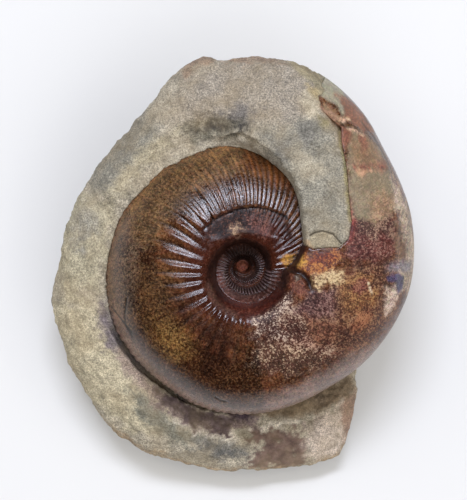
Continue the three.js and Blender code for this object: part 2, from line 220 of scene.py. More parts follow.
def whorl_rings(angles, section, ribs, grow=0, scale=1):
    """Rings of points round the whorl, one for each coil angle, grown outwards by the given distance.
    section lists directions from the shoulder: 0 to the venter, 90 out of the face, 180 to the seam."""
    angle = np.asarray(angles, float)[:, None]
    turn = np.radians(section)[None, :]
    power, reach, depth = whorl_measures(angle, section[None, :] <= 90, np.sin(turn) < 0)
    length = (abs(np.cos(turn)) ** power + abs(np.sin(turn)) ** power) ** (-1 / power)
    across = np.cos(turn) * length
    along = np.sin(turn) * length
    station = station_of(across, along, power)
    facing_r = np.sign(across) * abs(across) ** (power - 1) / reach
    facing_w = np.sign(along) * abs(along) ** (power - 1) / depth
    size = np.hypot(facing_r, facing_w)
    lift = grow + ribs(angle, station)
    radius = shoulder(angle) + reach * across * scale + facing_r / size * lift
    w = depth * along * scale + facing_w / size * lift
    heading = np.radians(angle + rib_lean(angle, station))
    u = radius * np.cos(heading) + AXIS_LEAN[0] * (w - AXIS_FOOT)
    v = radius * np.sin(heading) + AXIS_LEAN[1] * (w - AXIS_FOOT)
    return np.stack([u, v, w], axis=2)


def as_mesh(name, points, triangles=(), quads=()):
    """A mesh from arrays of points, three-cornered faces and four-cornered faces."""
    mesh = bpy.data.meshes.new(name)
    corners = np.concatenate([np.ravel(quads), np.ravel(triangles)]).astype(np.int32)
    sizes = np.concatenate([np.full(len(quads), 4), np.full(len(triangles), 3)]).astype(np.int32)
    mesh.vertices.add(len(points))
    mesh.vertices.foreach_set("co", np.ravel(points).astype(np.float32))
    mesh.loops.add(len(corners))
    mesh.loops.foreach_set("vertex_index", corners)
    mesh.polygons.add(len(sizes))
    mesh.polygons.foreach_set("loop_start", (np.cumsum(sizes) - sizes).astype(np.int32))
    mesh.update(calc_edges=True)
    return mesh


def in_scene(name, data):
    """An object put in the scene, with a mesh, a lamp or a camera as its data."""
    obj = bpy.data.objects.new(name, data)
    bpy.context.scene.collection.objects.link(obj)
    return obj


def three_each(rows, key, kind=np.float32):
    """The three numbers that each row of a mesh's data has under this key."""
    values = np.empty(len(rows) * 3, kind)
    rows.foreach_get(key, values)
    return values.reshape(-1, 3)


def skin_over(rings):
    """A closed object over rings of points. Each end is closed by a fan."""
    count, around = rings.shape[:2]
    points = rings.reshape(-1, 3)
    rows = np.arange(count - 1)[:, None] * around
    here = np.arange(around)[None, :]
    beside = (here + 1) % around
    quads = np.stack([rows + here, rows + around + here, rows + around + beside, rows + beside], axis=2)
    fans = []
    for end, first in enumerate((0, (count - 1) * around)):
        middle = np.full(around, len(points) + end)
        pair = [first + here[0], first + beside[0]]
        fans.append(np.stack((pair if end == 0 else pair[::-1]) + [middle], axis=1))
    points = np.concatenate([points, [rings[0].mean(0)], [rings[-1].mean(0)]])
    return in_scene("rough", as_mesh("rough", points, np.concatenate(fans), quads.reshape(-1, 4)))


def evaluated(obj):
    """The mesh of an object with its modifiers applied, and its triangles worked out."""
    mesh = bpy.data.meshes.new_from_object(obj.evaluated_get(bpy.context.evaluated_depsgraph_get()))
    mesh.calc_loop_triangles()
    return mesh


def carved(base, steps, most=0):
    """Adds or cuts away each object in steps, thins the mesh to at most so many triangles, and gives
    the points and triangles that are left. The objects that it worked with are removed."""
    for operation, tool in steps:
        cut = base.modifiers.new("cut", "BOOLEAN")
        cut.solver = "MANIFOLD"
        cut.operation = operation
        cut.object = tool
    bpy.context.view_layer.update()
    if most:
        base.data = mesh = evaluated(base)
        base.modifiers.clear()
        thin = base.modifiers.new("thin", "DECIMATE")
        thin.ratio = min(1, most / len(mesh.loop_triangles))
    mesh = evaluated(base)
    for used in [base] + [tool for _, tool in steps]:
        bpy.data.objects.remove(used)
    points = three_each(mesh.vertices, "co").astype(float)
    return points, three_each(mesh.loop_triangles, "vertices", np.int32)


def tongue_prism(pulled_in):
    """The tongue's outline as an upright prism, pulled in by the given distance."""
    outline = np.array(TONGUE, float)
    along = np.roll(outline, -1, axis=0) - np.roll(outline, 1, axis=0)
    along /= np.linalg.norm(along, axis=1)[:, None]
    inwards = np.stack([along[:, 1], -along[:, 0]], axis=1)
    corners = outline + inwards * pulled_in
    low = np.column_stack([corners, np.full(len(corners), pulled_in)])
    high = np.column_stack([corners, np.full(len(corners), TONGUE_TOP)])
    return skin_over(np.stack([low, high]))


def sweep(start, stop, pitch):
    """Coil angles from start to stop, about pitch degrees apart."""
    return np.linspace(start, stop, max(2, round((stop - start) / pitch) + 1))


# The coil in stretches of half a turn or less, so that none of them runs into itself: the coil angles where
# each starts and stops, degrees from ring to ring, how a ring is divided, and its ribs. A ring is divided in
# parts, in directions from the shoulder: from, to, and the number of points.
FLANK = ((-90, -12, 24), (-10, 90, 96), (91.5, 176, 52))
INNER_FLANK = ((-90, 50, 18), (54, 176, 60))
STRETCHES = (
    (-1075, -895, 4, INNER_FLANK, inner_whorl_ribs), (-895, -715, 4, INNER_FLANK, inner_whorl_ribs),
    (-715, -535, 1.3, INNER_FLANK, inner_whorl_ribs), (-535, -355, 1.3, INNER_FLANK, inner_whorl_ribs),
    (-355, -175, 0.9, INNER_FLANK, inner_whorl_ribs), (-175, 5, 0.9, INNER_FLANK, inner_whorl_ribs),
    (5, 185, 0.62, FLANK, last_whorl_ribs), (185, 365, 0.62, FLANK, last_whorl_ribs),
)
OVERLAP = 6
BAND_PITCH = 0.6
BAND_OVERLAP = 5
BURIED_SCALE = 0.9


def stretch(start, stop, pitch, parts, ribs, grow, overlap, coarseness=1.0):
    """A stretch of the coil, with one smaller ring in front that is buried in the stretch before it."""
    section = np.concatenate([
        np.linspace(low, high, round(count / coarseness)) for low, high, count in parts
    ])
    buried = whorl_rings([start - overlap], section, ribs, grow, BURIED_SCALE)
    rings = whorl_rings(sweep(start, stop, pitch * coarseness), section, ribs, grow)
    return skin_over(np.concatenate([buried, rings]))


def coil_pieces(grow, coarseness=1.0):
    """All stretches of the coil, grown outwards by the given distance."""
    return [stretch(*row, grow, OVERLAP, coarseness) for row in STRETCHES]


KNOB = (2.4, 5.2, -2)  # radius, top and foot, as for the plug
PLUG = (15, 1, -18)
KNOB_SIDES = 48
KNOB_LEVELS = 24


def knob_and_plug(grow):
    """The first chamber in the middle of the umbilicus, and what fills the umbilicus on the hidden side."""
    turns = np.linspace(0, 2 * math.pi, KNOB_SIDES, endpoint=False)
    solids = []
    for (radius, top, foot), is_round in ((KNOB, True), (PLUG, False)):
        levels = np.linspace(0, 1, KNOB_LEVELS if is_round else 2)
        half = (top - foot) / 2 + (grow if is_round else grow / 2)
        middle = (top + foot) / 2 - (0 if is_round else grow / 2)
        w = middle - half * np.cos(levels * math.pi)
        wide = np.sin(levels * math.pi) * 0.999 + 0.001 if is_round else np.ones(2)
        reach = (radius + grow) * wide[:, None]
        rings = np.stack([
            reach * np.cos(turns), reach * np.sin(turns), w[:, None] * np.ones(KNOB_SIDES),
        ], axis=2)
        solids.append(skin_over(rings[:, ::-1]))
    return solids


def outer_band(gap):
    """The outer band of the last whorl, up the right side to its broken end and cut along the tongue.
    gap is how far the band is grown, and how far the tongue that cuts it is pulled in."""
    end = COIL_END + gap * END_DEGREES_PER_MM
    whole = stretch(BAND_START, end, BAND_PITCH, FLANK, no_ribs, gap, BAND_OVERLAP)
    return in_scene("rough", as_mesh("rough", *carved(whole, [("DIFFERENCE", tongue_prism(gap))])))


MOST_TRIANGLES = 190000
pieces = coil_pieces(0) + knob_and_plug(0) + [outer_band(0)]
shell_points, shell_faces = carved(pieces[0], [("UNION", piece) for piece in pieces[1:]], MOST_TRIANGLES)

LATTICE_SIDE = 48
LATTICE = np.random.default_rng(11).random((LATTICE_SIDE, LATTICE_SIDE, LATTICE_SIDE))


def lumps(points, size, seed=0):
    """Smooth random lumps of about this size in mm, from -1 to 1."""
    at = points / size + 7.31 * (seed + 1)
    cell = np.floor(at).astype(int)
    part = at - cell
    part = part * part * (3 - 2 * part)
    total = np.zeros(len(points))
    for corner in itertools.product((0, 1), repeat=3):
        weight = np.where(corner, part, 1 - part).prod(axis=1)
        i, j, k = ((cell + corner) % LATTICE_SIDE).T
        total += weight * LATTICE[i, j, k]
    return total * 2 - 1


def from_line(points, line):
    """Distance of each point, on the face, from a line through the given corners."""
    nearest = np.full(len(points), 1e9)
    for a, b in zip(np.array(line[:-1], float), np.array(line[1:], float)):
        along = b - a
        t = np.clip(((points[:, :2] - a) @ along) / (along @ along), 0, 1)
        nearest = np.minimum(nearest, np.hypot(*(points[:, :2] - a - t[:, None] * along).T))
    return nearest


def within(points, outline):
    """How far inside an outline on the face each point lies, in mm. It is below 0 outside."""
    corners = np.array(outline, float)
    inside = np.zeros(len(points), bool)
    for a, b in zip(corners, np.roll(corners, -1, axis=0)):
        spans = (a[1] > points[:, 1]) != (b[1] > points[:, 1])
        slope = (b[0] - a[0]) / (b[1] - a[1] + 1e-9)
        inside ^= spans & (points[:, 0] < a[0] + (points[:, 1] - a[1]) * slope)
    return np.where(inside, 1, -1) * from_line(points, list(outline) + [outline[0]])


def to_linear(hex_colour, alpha=1.0):
    """The linear colour of an sRGB hex value."""
    parts = [int(hex_colour[i:i + 2], 16) / 255 for i in (1, 3, 5)]
    return [p / 12.92 if p <= 0.04045 else ((p + 0.055) / 1.055) ** 2.4 for p in parts] + [alpha]


def normals_of(mesh):
    """The direction in which the mesh faces at each of its points."""
    return three_each(mesh.vertex_normals, "vector").astype(float)


def coil_radius(points):
    """Distance of each point from the coil's leaning axis, and its heading round it in degrees."""
    u = points[:, 0] - AXIS_LEAN[0] * (points[:, 2] - AXIS_FOOT)
    v = points[:, 1] - AXIS_LEAN[1] * (points[:, 2] - AXIS_FOOT)
    return np.hypot(u, v), np.degrees(np.arctan2(v, u)) % 360


INNERMOST = -715  # further in than this coil angle, the knob hides the coil
OFF_THE_COIL = 50  # a place past either end counts as this many mm further away, so that it is never taken


def where_on_coil(points):
    """The coil angle and the station of each point, on the whorl whose skin it is nearest to."""
    nearest = np.full(len(points), 1e9)
    found = np.zeros((2, len(points)))
    radius, heading = coil_radius(points)
    for whorl in (1, 0, -1, -2):
        angle = heading + 360 * whorl
        for _ in range(3):
            is_outer = radius > shoulder(angle)
            power, reach, depth = whorl_measures(angle, is_outer, points[:, 2] < 0)
            across = (radius - shoulder(angle)) / reach
            along = points[:, 2] / depth
            size = (abs(across) ** power + abs(along) ** power) ** (1 / power)
            station = station_of(across / size, along / size, power)
            angle = heading + 360 * whorl - rib_lean(angle, station)
        is_beyond = (angle > COIL_END + 4) | (angle < INNERMOST)
        miss = abs(size - 1) * reach + OFF_THE_COIL * is_beyond
        is_nearer = miss < nearest
        nearest = np.where(is_nearer, miss, nearest)
        found = np.where(is_nearer, (angle, station), found)
    return found


def look(paint, fleck, cover, rough=0.9):
    """One row of the patchwork: colour and roughness, then the flecks' colour and how much they cover.
    The stone is equally rough all over, so its rows leave the roughness out."""
    return np.array([*to_linear(paint)[:3], rough, *to_linear(fleck)[:3], cover])


def patchwork(points, ground, patches, seed, on_face):
    """The look at each point: the ground, and on it each patch in turn. A patch is a look, how soft and
    how ragged its edge is in mm, and its outline on the face. on_face is 0 where patches don't reach."""
    ragged_by = lumps(points, 2.4, seed) + 0.8 * lumps(points, 0.9, seed + 1)
    values = np.tile(look(*ground), (len(points), 1))
    for *shown, soft, ragged, outline in patches:
        share = (on_face * step(within(points, outline) + ragged * ragged_by, -soft, soft))[:, None]
        values += share * (look(*shown) - values)
    return values


def write_on(mesh, name, values):
    """Stores a number, or four of them, at every point of the mesh for its material to read."""
    four = values.ndim == 2
    layer = mesh.attributes.new(name, "FLOAT_COLOR" if four else "FLOAT", "POINT")
    layer.data.foreach_set("color" if four else "value", np.ravel(values).astype(np.float32))


def add(tree, kind, inputs, output=0, **settings):
    """Adds a node with its settings, fills or links its inputs, and gives back one of its outputs."""
    node = tree.nodes.new("ShaderNode" + kind)
    for name, value in settings.items():
        setattr(node, name, value)
    for name, value in inputs.items():
        if isinstance(value, bpy.types.NodeSocket):
            tree.links.new(value, node.inputs[name])
        else:
            node.inputs[name].default_value = value
    return node.outputs[output]


def new_material(name):
    """A material, its tree of nodes and the shader of its surface."""
    material = bpy.data.materials.new(name)
    material.use_nodes = True
    return material, material.node_tree, material.node_tree.nodes["Principled BSDF"]


# What the face of the shell shows: colour, colour of the flecks, how much they cover, roughness, how soft
# and how ragged the edge is in mm, and the outline.
SHELL_GROUND = ("#4e2c19", "#8a6238", 0.3, 0.17)
RUST_POINTS = [
    (12.2, 1.9), (16.8, 4.2), (23.9, 5), (28.4, 4.6), (29.4, 1.4), (27.9, -0.6), (25.9, -2.1), (20.3, -2.9),
    (17.8, -1.6), (14.5, -0.6), (12.7, -0.1),
]
STRIPPED = [
    (-9.2, 14.3), (-4.4, 16.1), (-1.2, 17.3), (3.3, 17.9), (7.3, 17.3), (12.7, 15.2), (14.8, 8), (8.2, 9.2),
    (3.6, 10.4), (-0.9, 10.4), (-5.6, 8.6), (-10.4, 9.2),
]
PIT = [
    (13.4, -0.2), (15.4, 0), (18.5, -1.6), (20.6, -4.4), (20.8, -7), (19.6, -6.8), (18.8, -4.4), (16.6, -2.6),
    (14.4, -1.6),
]
OUTER_STRIP = [
    (45.7, 28.8), (50.4, 20.5), (53, 11.1), (54.2, 1.3), (52.5, -7.2), (47.7, -7.7), (46.2, 1.4), (47.5, 11),
    (46.7, 18.6), (45.6, 23.8),
]
RED_TOP = [
    (27.9, 52.4), (32.2, 51.4), (37.1, 46.5), (39.9, 41.5), (36.5, 41.1), (32.2, 44.3), (29.5, 44.3),
    (31.1, 46.4),
]
FLAKE = [(33.2, 29.4), (36, 29.2), (40.2, 29.2), (40, 28.6), (37.2, 28.3), (35.6, 26.9), (34.4, 27.8)]
SHELL_PATCHES = (
    # partly painted sheen: the band along the lower venter, lighter and greyer than the shell round it
    ("#745c50", "#a08468", 0.2, 0.26, 2.4, 1.4, [
        (-36.7, -9.8), (-32.9, -19), (-26.5, -27.5), (-19.5, -33.8), (-10.3, -38.8), (0, -40.4), (10.4, -39),
        (20, -34.8), (29, -29), (37.2, -21), (43.2, -14), (50, -16), (43, -30), (33.4, -39.8), (17.8, -48.9),
        (0, -52), (-17.8, -48.9), (-33.4, -39.8), (-45, -26), (-50, -8),
    ]),
    ("#684c38", "#a88a68", 0.34, 0.3, 3.0, 1.6, [
        (-43, 11.1), (-37.3, 18.7), (-31.7, 12.6), (-30.4, 2), (-31.6, -7.1), (-32.6, -19.2), (-36.9, -21.4),
        (-43, -7.2),
    ]),
    ("#7c5834", "#b08c5c", 0.3, 0.3, 3.0, 1.2, [
        (-34.8, 10.5), (-35.1, 19.7), (-29.9, 27.2), (-22.8, 32), (-14.5, 36), (-5.4, 38.1), (4.6, 37.2),
        (11.1, 33.1), (13.6, 27.3), (7.6, 27.6), (-0.8, 28.8), (-9.9, 25.7), (-17.4, 19.3), (-23.4, 12.6),
        (-27.9, 6),
    ]),
    ("#6c3f1c", "#a5743a", 0.15, 0.24, 2.0, 0.8, [
        (0.1, 37.5), (5.8, 36.8), (11.1, 33.3), (14.2, 27.1), (11.2, 24.3), (5.8, 27.7), (0.4, 29),
    ]),
    ("#5c3a1e", "#a07440", 0.34, 0.28, 4.0, 2.0, [
        (-30.4, -0.4), (-24.8, 1.4), (-20.3, -2.5), (-19.4, -9.9), (-23.3, -17.5), (-28.6, -20.7),
        (-31.6, -14.6),
    ]),
    ("#805325", "#b8924f", 0.4, 0.32, 3.4, 1.5, [
        (-27.9, -16.7), (-21.2, -15.4), (-15.8, -18.9), (-14.3, -25), (-19.5, -28.7), (-25.6, -25.2),
    ]),
    ("#744423", "#b08650", 0.3, 0.3, 2.4, 1.6, [
        (-6.2, -21.9), (-2.1, -18.9), (-0.9, -24.9), (-3.2, -29.4), (-5.6, -27.9),
    ]),
    ("#381b0d", "#845630", 0.2, 0.24, 4.0, 2.2, [
        (-22, -6), (-16.5, -12), (-11, -15.5), (-4, -17.5), (1, -22), (-4.5, -30), (-11, -31), (-14, -22),
        (-20, -14),
    ]),
    ("#3c1b10", "#764a34", 0.15, 0.15, 3.0, 1.2, [
        (17, 4), (13, 12), (6, 17), (-3, 17.5), (-12, 13), (-17.5, 4), (-17, -6), (-13, -13), (-5, -17.5),
        (3, -17.5), (9, -14), (13.5, -8), (14, -3),
    ]),
    ("#260f08", "#6e4638", 0.3, 0.6, 1.2, 0.8, STRIPPED),
    ("#4a2219", "#946658", 0.4, 0.36, 1.6, 0.8, [
        (0.5, 15.5), (6, 15.5), (9, 10.5), (6.5, 8.5), (2.5, 11),
    ]),
    ("#3a170d", "#7c5244", 0.2, 0.26, 1.6, 0.6, [
        (8.5, 16), (12, 14.5), (14.8, 8.5), (15.5, 6), (11.5, 5), (8, 9),
    ]),
    ("#6c4c38", "#b89c78", 0.45, 0.45, 0.7, 1.2, [
        (-3.4, 11.2), (-1.6, 12.8), (0.6, 11.6), (-0.4, 10.2), (-2, 9.8),
    ]),
    ("#4a2416", "#b49a80", 0.32, 0.45, 2.4, 1.5, [
        (5.8, -9.5), (9.4, -7.4), (14, -8), (17.9, -11.4), (23.6, -17.4), (30.7, -22), (28.7, -27.5),
        (20.2, -29.8), (12.6, -30.4), (5.7, -24.9), (3.6, -16.5),
    ]),
    ("#4e2a1c", "#d2bea8", 0.36, 0.5, 1.6, 2.0, [
        (11.2, -9.2), (14.8, -8.7), (15.3, -12.2), (11.2, -14.2), (10.2, -18.3), (13.8, -20.3), (11.7, -21.8),
        (6.7, -19.3), (3.7, -22.3), (2.7, -15), (6.7, -13.2), (10.2, -11.7),
    ]),
    ("#522a1c", "#b8927a", 0.38, 0.45, 1.2, 1.6, [
        (14.8, -19.3), (19.3, -20.3), (22.8, -22.7), (23.9, -24.3), (20.8, -25.2), (18.3, -23.7),
        (15.8, -22.3),
    ]),
    ("#50301f", "#c8ac8c", 0.26, 0.45, 1.6, 1.8, [
        (3.6, -23.4), (9.6, -22.8), (17.1, -24.6), (24.6, -26), (26.3, -29.7), (17.2, -31.6), (8.1, -31.6),
        (2.1, -29.4),
    ]),
    ("#4d2a1c", "#94704f", 0.34, 0.42, 2.4, 1.4, [
        (30.4, 1.4), (49.5, 5), (50.8, -7.2), (45.7, -17.9), (37.1, -25.3), (29.2, -25), (21, -22), (17, -12),
        (18, -7), (24, -6), (31.3, -1.6),
    ]),
    ("#45241f", "#8c6a5e", 0.32, 0.45, 1.6, 1.6, [
        (22.8, -6.8), (28.2, -6.3), (28.2, -13.2), (25.9, -16.7), (20.8, -16.2), (16.3, -13.7), (16.8, -10.2),
    ]),
    ("#56301e", "#946648", 0.3, 0.42, 1.6, 1.4, [
        (18.3, -14.7), (25.9, -16.8), (28.4, -18.3), (27.4, -21.8), (23.9, -22.3), (18.8, -18.3),
    ]),
    ("#6e4020", "#a07a48", 0.4, 0.5, 1.6, 1.6, [
        (29.4, -4.6), (34, -2.1), (38.5, -3.6), (41, -8.7), (39, -11.2), (35, -13.2), (30.9, -15.7),
        (28.7, -11.2), (28.9, -7.2),
    ]),
    ("#683820", "#9c6a46", 0.4, 0.45, 1.2, 1.2, [
        (34, -14.2), (38.5, -12.2), (39, -15.7), (36, -18.8), (32.9, -19.3),
    ]),
    ("#5a2a20", "#94644c", 0.3, 0.45, 0.9, 1.0, [
        (33.4, -4.6), (36.5, -4.1), (37.5, -7.2), (35, -8.2), (32.9, -6.6),
    ]),
    ("#84646a", "#a08488", 0.3, 0.4, 0.5, 0.3, [(25.2, 3), (26.4, 3), (26.6, 1.9), (25.4, 1.7)]),
    ("#c8b090", "#e0cdb0", 0.4, 0.5, 0.2, 0.2, [(37.2, -4.7), (37.8, -4.7), (38.8, -7.8), (38.2, -7.9)]),
    ("#6c2f14", "#b47c3e", 0.4, 0.6, 1.0, 1.2, RUST_POINTS),
    ("#8a5c20", "#c4923e", 0.4, 0.62, 1.0, 1.2, [
        (12, 1.9), (16.2, 3.9), (18.5, 2), (17, -0.4), (13.4, -0.2),
    ]),
    ("#602412", "#985634", 0.3, 0.62, 1.0, 1.2, [
        (20.5, 4.6), (26, 4.6), (27, 2.4), (23.5, 0.6), (20.5, 1.6),
    ]),
    ("#80603c", "#ccb488", 0.46, 0.5, 0.9, 1.5, [
        (19.8, -3.4), (23.4, -2), (25.4, -0.6), (28.9, -0.9), (29.4, -4.1), (25.9, -5.6), (21.8, -6.1),
        (20.3, -5.1),
    ]),
    ("#582c1d", "#8c5e44", 0.3, 0.4, 0.8, 0.6, [
        (12.6, -0.6), (14.4, -1.8), (16.6, -2.8), (18.8, -4.6), (19.6, -7.6), (17.4, -9.4), (14.4, -7.6),
        (12.6, -4.6),
    ]),
    # painted shade: the pit under its overhanging edge, very dark
    ("#1f0e09", "#4a2a1c", 0.15, 0.4, 0.5, 0.2, PIT),
    ("#7a6658", "#a08a74", 0.2, 0.4, 0.3, 0.2, [
        (15.4, -2.3), (16.9, -2.4), (17, -3.9), (15.8, -4.1),
    ]),
    ("#54261e", "#8e6a5a", 0.3, 0.45, 1.4, 1.2, [
        (31.4, 16.4), (34.4, 14.6), (38.7, 13.4), (43.7, 16.4), (46.9, 13.5), (48.1, 5), (41.1, 1.4),
        (32.5, 1.4), (30.1, 4.4), (32, 9.5),
    ]),
    ("#743028", "#96523f", 0.25, 0.45, 0.9, 0.6, [(31.2, 20), (33.4, 20.5), (34.2, 14), (33, 8), (31, 7)]),
    ("#54342a", "#a88a70", 0.38, 0.5, 1.4, 1.6, [
        (34, 15), (38.5, 13.2), (43.5, 16), (46.8, 12.4), (47, 7.6), (43, 10), (38, 9.4), (34.5, 10.4),
    ]),
    ("#7b6c54", "#8e7e64", 0.12, 0.42, 1.2, 0.7, [
        (31.1, 41.7), (34.9, 41.9), (38.7, 39), (42.6, 35), (45, 30.1), (45.9, 23.8), (47, 17.7),
        (43.7, 16.4), (39.3, 13.4), (34.4, 14.9), (32.1, 17.6), (31.8, 24.5), (31.2, 32),
    ]),
    ("#84684c", "#947658", 0.14, 0.45, 2.0, 0.9, [(32, 38), (38, 39), (42.5, 33), (43, 30), (33, 30)]),
    ("#8c7054", "#a08468", 0.18, 0.5, 2.0, 1.4, [
        (39, 20.5), (42.5, 22), (45.6, 22), (46.8, 17.8), (43.7, 15.6), (39, 14.5),
    ]),
    ("#958e76", "#a59e86", 0.12, 0.5, 0.8, 0.5, [
        (19, 61), (26, 61), (31, 55), (31.4, 50), (31, 46.8), (30.2, 44.9), (28.2, 48.3), (24.6, 50.8),
        (21, 53.2),
    ]),
    ("#7f553e", "#926a4e", 0.16, 0.5, 0.9, 0.8, RED_TOP),
    ("#86694f", "#9a7e62", 0.16, 0.5, 1.8, 1.4, [
        (23.6, 49.7), (27.4, 48.6), (29.8, 45.2), (29.4, 43.2), (26.6, 44), (24, 46.2),
    ]),
    ("#7a4d38", "#90624a", 0.16, 0.5, 0.8, 0.8, [
        (29.3, 42.3), (32.6, 41.4), (32.2, 37.4), (30.9, 34.4), (29.4, 36.6),
    ]),
    ("#7f543e", "#926850", 0.16, 0.5, 0.7, 0.7, [
        (34.8, 40.4), (37, 39.6), (37.6, 36.8), (36.9, 33), (35.4, 35.4),
    ]),
    ("#84604a", "#9a745a", 0.14, 0.48, 0.8, 0.5, [
        (33.3, 29.8), (37.1, 29.9), (40.9, 29.3), (44.4, 31.3), (43.9, 32.6), (39, 31.6), (35.2, 31.1),
    ]),
    ("#b49474", "#c8ac8c", 0.3, 0.5, 0.5, 0.4, [
        (29.4, 44.3), (31.4, 45), (32.2, 44.4), (30.6, 43.8), (30.2, 42.9),
    ]),
    ("#b8977a", "#cdb296", 0.2, 0.5, 0.3, 0.3, [
        (31.6, 42), (34.6, 41.4), (36.8, 39.8), (36.4, 39.4), (34, 40.6), (31.6, 41.2),
    ]),
    ("#a08c76", "#c4b29c", 0.3, 0.5, 1.2, 1.6, OUTER_STRIP),
    ("#775a44", "#50382a", 0.3, 0.45, 1.2, 1.6, [
        (45.5, 12.5), (47.5, 13.4), (49.6, 8), (50, 1), (47.9, 0.4), (46.6, 3.4), (45.4, 8),
    ]),
    ("#a98f7c", "#cdb9a6", 0.45, 0.48, 0.9, 1.2, [
        (42.8, -5.4), (46, -5.2), (47.4, -8.2), (46.2, -11.4), (43.2, -14.6), (41.8, -12),
    ]),
    ("#756a6c", "#94898c", 0.25, 0.36, 1.0, 0.5, [(43, 1), (52, 2), (51.5, -1.2), (43.4, -1.6)]),
    ("#453b52", "#6c6278", 0.25, 0.3, 0.35, 0.3, [
        (43, -2.6), (47.6, -1.9), (49.2, -3.4), (48.9, -6.8), (47, -8.2), (46.4, -4.8), (43.5, -4.6),
    ]),
    ("#84503e", "#9a6a54", 0.2, 0.5, 0.35, 0.3, [
        (32.6, 30.3), (38, 30), (44.4, 30.8), (44.4, 30.1), (38, 29.3), (32.6, 29.6),
    ]),
    ("#aa8464", "#b89476", 0.1, 0.5, 0.2, 0.12, FLAKE),
)
SHELL_CRACKS = (
    (0.30, 0.45, [
        (-9.2, 14), (-4.4, 16.1), (-1.2, 17.3), (3.3, 17.9), (7.3, 17.3), (12.7, 15.2), (15, 13),
    ]),
    (0.20, 0.40, [(-14.1, 23.4), (-11.1, 18.2), (-8.6, 14), (-12.2, 10.4)]),
    (0.12, 0.34, [(-5.1, 21.2), (-4.2, 23), (-3, 23.6), (-1.7, 23), (-0.2, 20.9)]),
    (0.25, 0.42, [(-40.4, -12.2), (-38.1, -14.8), (-35.8, -17.5), (-33.6, -20.2)]),
    (0.20, 0.38, [(-35.1, -9.5), (-35.8, -14.4), (-35.8, -17.8), (-33.4, -21.5)]),
    (0.12, 0.34, [(-5.9, -17.7), (-6.8, -21), (-8.9, -26.7)]),
    (0.20, 0.40, [(-8.4, -39.5), (-6.9, -40.5), (-4.8, -41.1)]),
    (0.12, 0.60, [(36.5, 44), (39.7, 39.6), (42.5, 35.5), (44.7, 31.1), (45.7, 28.4)]),
    (0.08, 0.55, [(45.7, 29.4), (45.8, 23.5), (46.8, 18), (47.5, 14.3)]),
    (0.08, 0.55, [(27.9, 52), (29.6, 48.8), (31.2, 46.2)]),
    (0.12, 0.60, [(29.2, 43.8), (30.8, 42.1), (33.2, 41.9)]),
    (0.12, 0.34, [(46.2, -7.6), (48.3, -5), (49.8, -1.8)]),
)  # how deep and how wide each crack is, in mm, and its line on the face
SHELL_STEPS = (
    (-1.6, 1.0, PIT), (-0.25, 1.2, OUTER_STRIP), (-0.15, 0.9, RED_TOP),
)  # how far each of these lies under the skin, in mm, how wide the slope down to it is, and its outline
BEAD = (16.2, -3.2, 0.9, 0.8)  # the small round grain in the pit: its place, its radius and its height
ROUGH_LUMPS = ((1.3, 0.17), (0.7, 0.09))  # size and height of the crust where the shell isn't polished
SWELL = (14, 0.22)  # size and height of the slow swelling of the whole whorl
STRIPPED_DEPTH = 0.3
CRACK_SHADE_DEPTH = 0.2  # a crack this deep is painted darkest, as the shade in it, and a shallower one less so
PATCH_EDGE = 0.25  # how ragged the patches end on the side of the shell
LINE_PITCH = (0.62, 0.09)  # mm for each degree along the coil and each degree of station, for growth lines
WALL_TOP = curve_through([[90, 104], [150, 98], [205, 98], [235, 104], [300, 104]])  # in stations
FULL_RIB = 0.3  # a rib of this height counts as whole
# how much the painted shade darkens the hollows between the ribs
GROOVE_SHADE = 0.6
LIP_SHARE = 0.4
# how strongly the painted shade over the upper half of the pit is laid on
PAINTED_SHADE_SHARE = 0.75

shell_normals = normals_of(as_mesh("rough", shell_points, shell_faces))
from_axis, _ = coil_radius(shell_points)
coil_angle, station = where_on_coil(shell_points)
upward = shell_normals[:, 2] + PATCH_EDGE * lumps(shell_points, 5, 6)
looks = patchwork(shell_points, SHELL_GROUND, SHELL_PATCHES, 1, step(upward, -0.5, 0.0))

is_face = step(shell_normals[:, 2], 0.05, 0.35)
last = coil_angle >= RIBS_START
wall = step(station, WALL_TOP(coil_angle), WALL_TOP(coil_angle) + 16) * last
rib = last_whorl_ribs(coil_angle, station) / FULL_RIB
# Painted shade: the hollows between the ribs are darkened in colour, as the shade that falls in them.
groove = last * step(MAIN_HEIGHT(coil_angle), 0, 0.1) * (1 - step(rib, 0.15, 0.8))
groove *= 1 - step(station, 84, 96)
ribbed = 1 - step(abs(station - 55), 20, 35)
# Painted light and shade in the umbilicus: a dark wall, the lower wall lighter where it faces the window.
heading = coil_angle % 360
sunlit = step(heading, 200, 250) * (1 - step(heading, 318, 345))
lip = last * step(station, 97, 104) * (1 - step(station, 110, 124))
lip = LIP_SHARE * lip * step(heading, 185, 205) * (1 - step(heading, 248, 264))
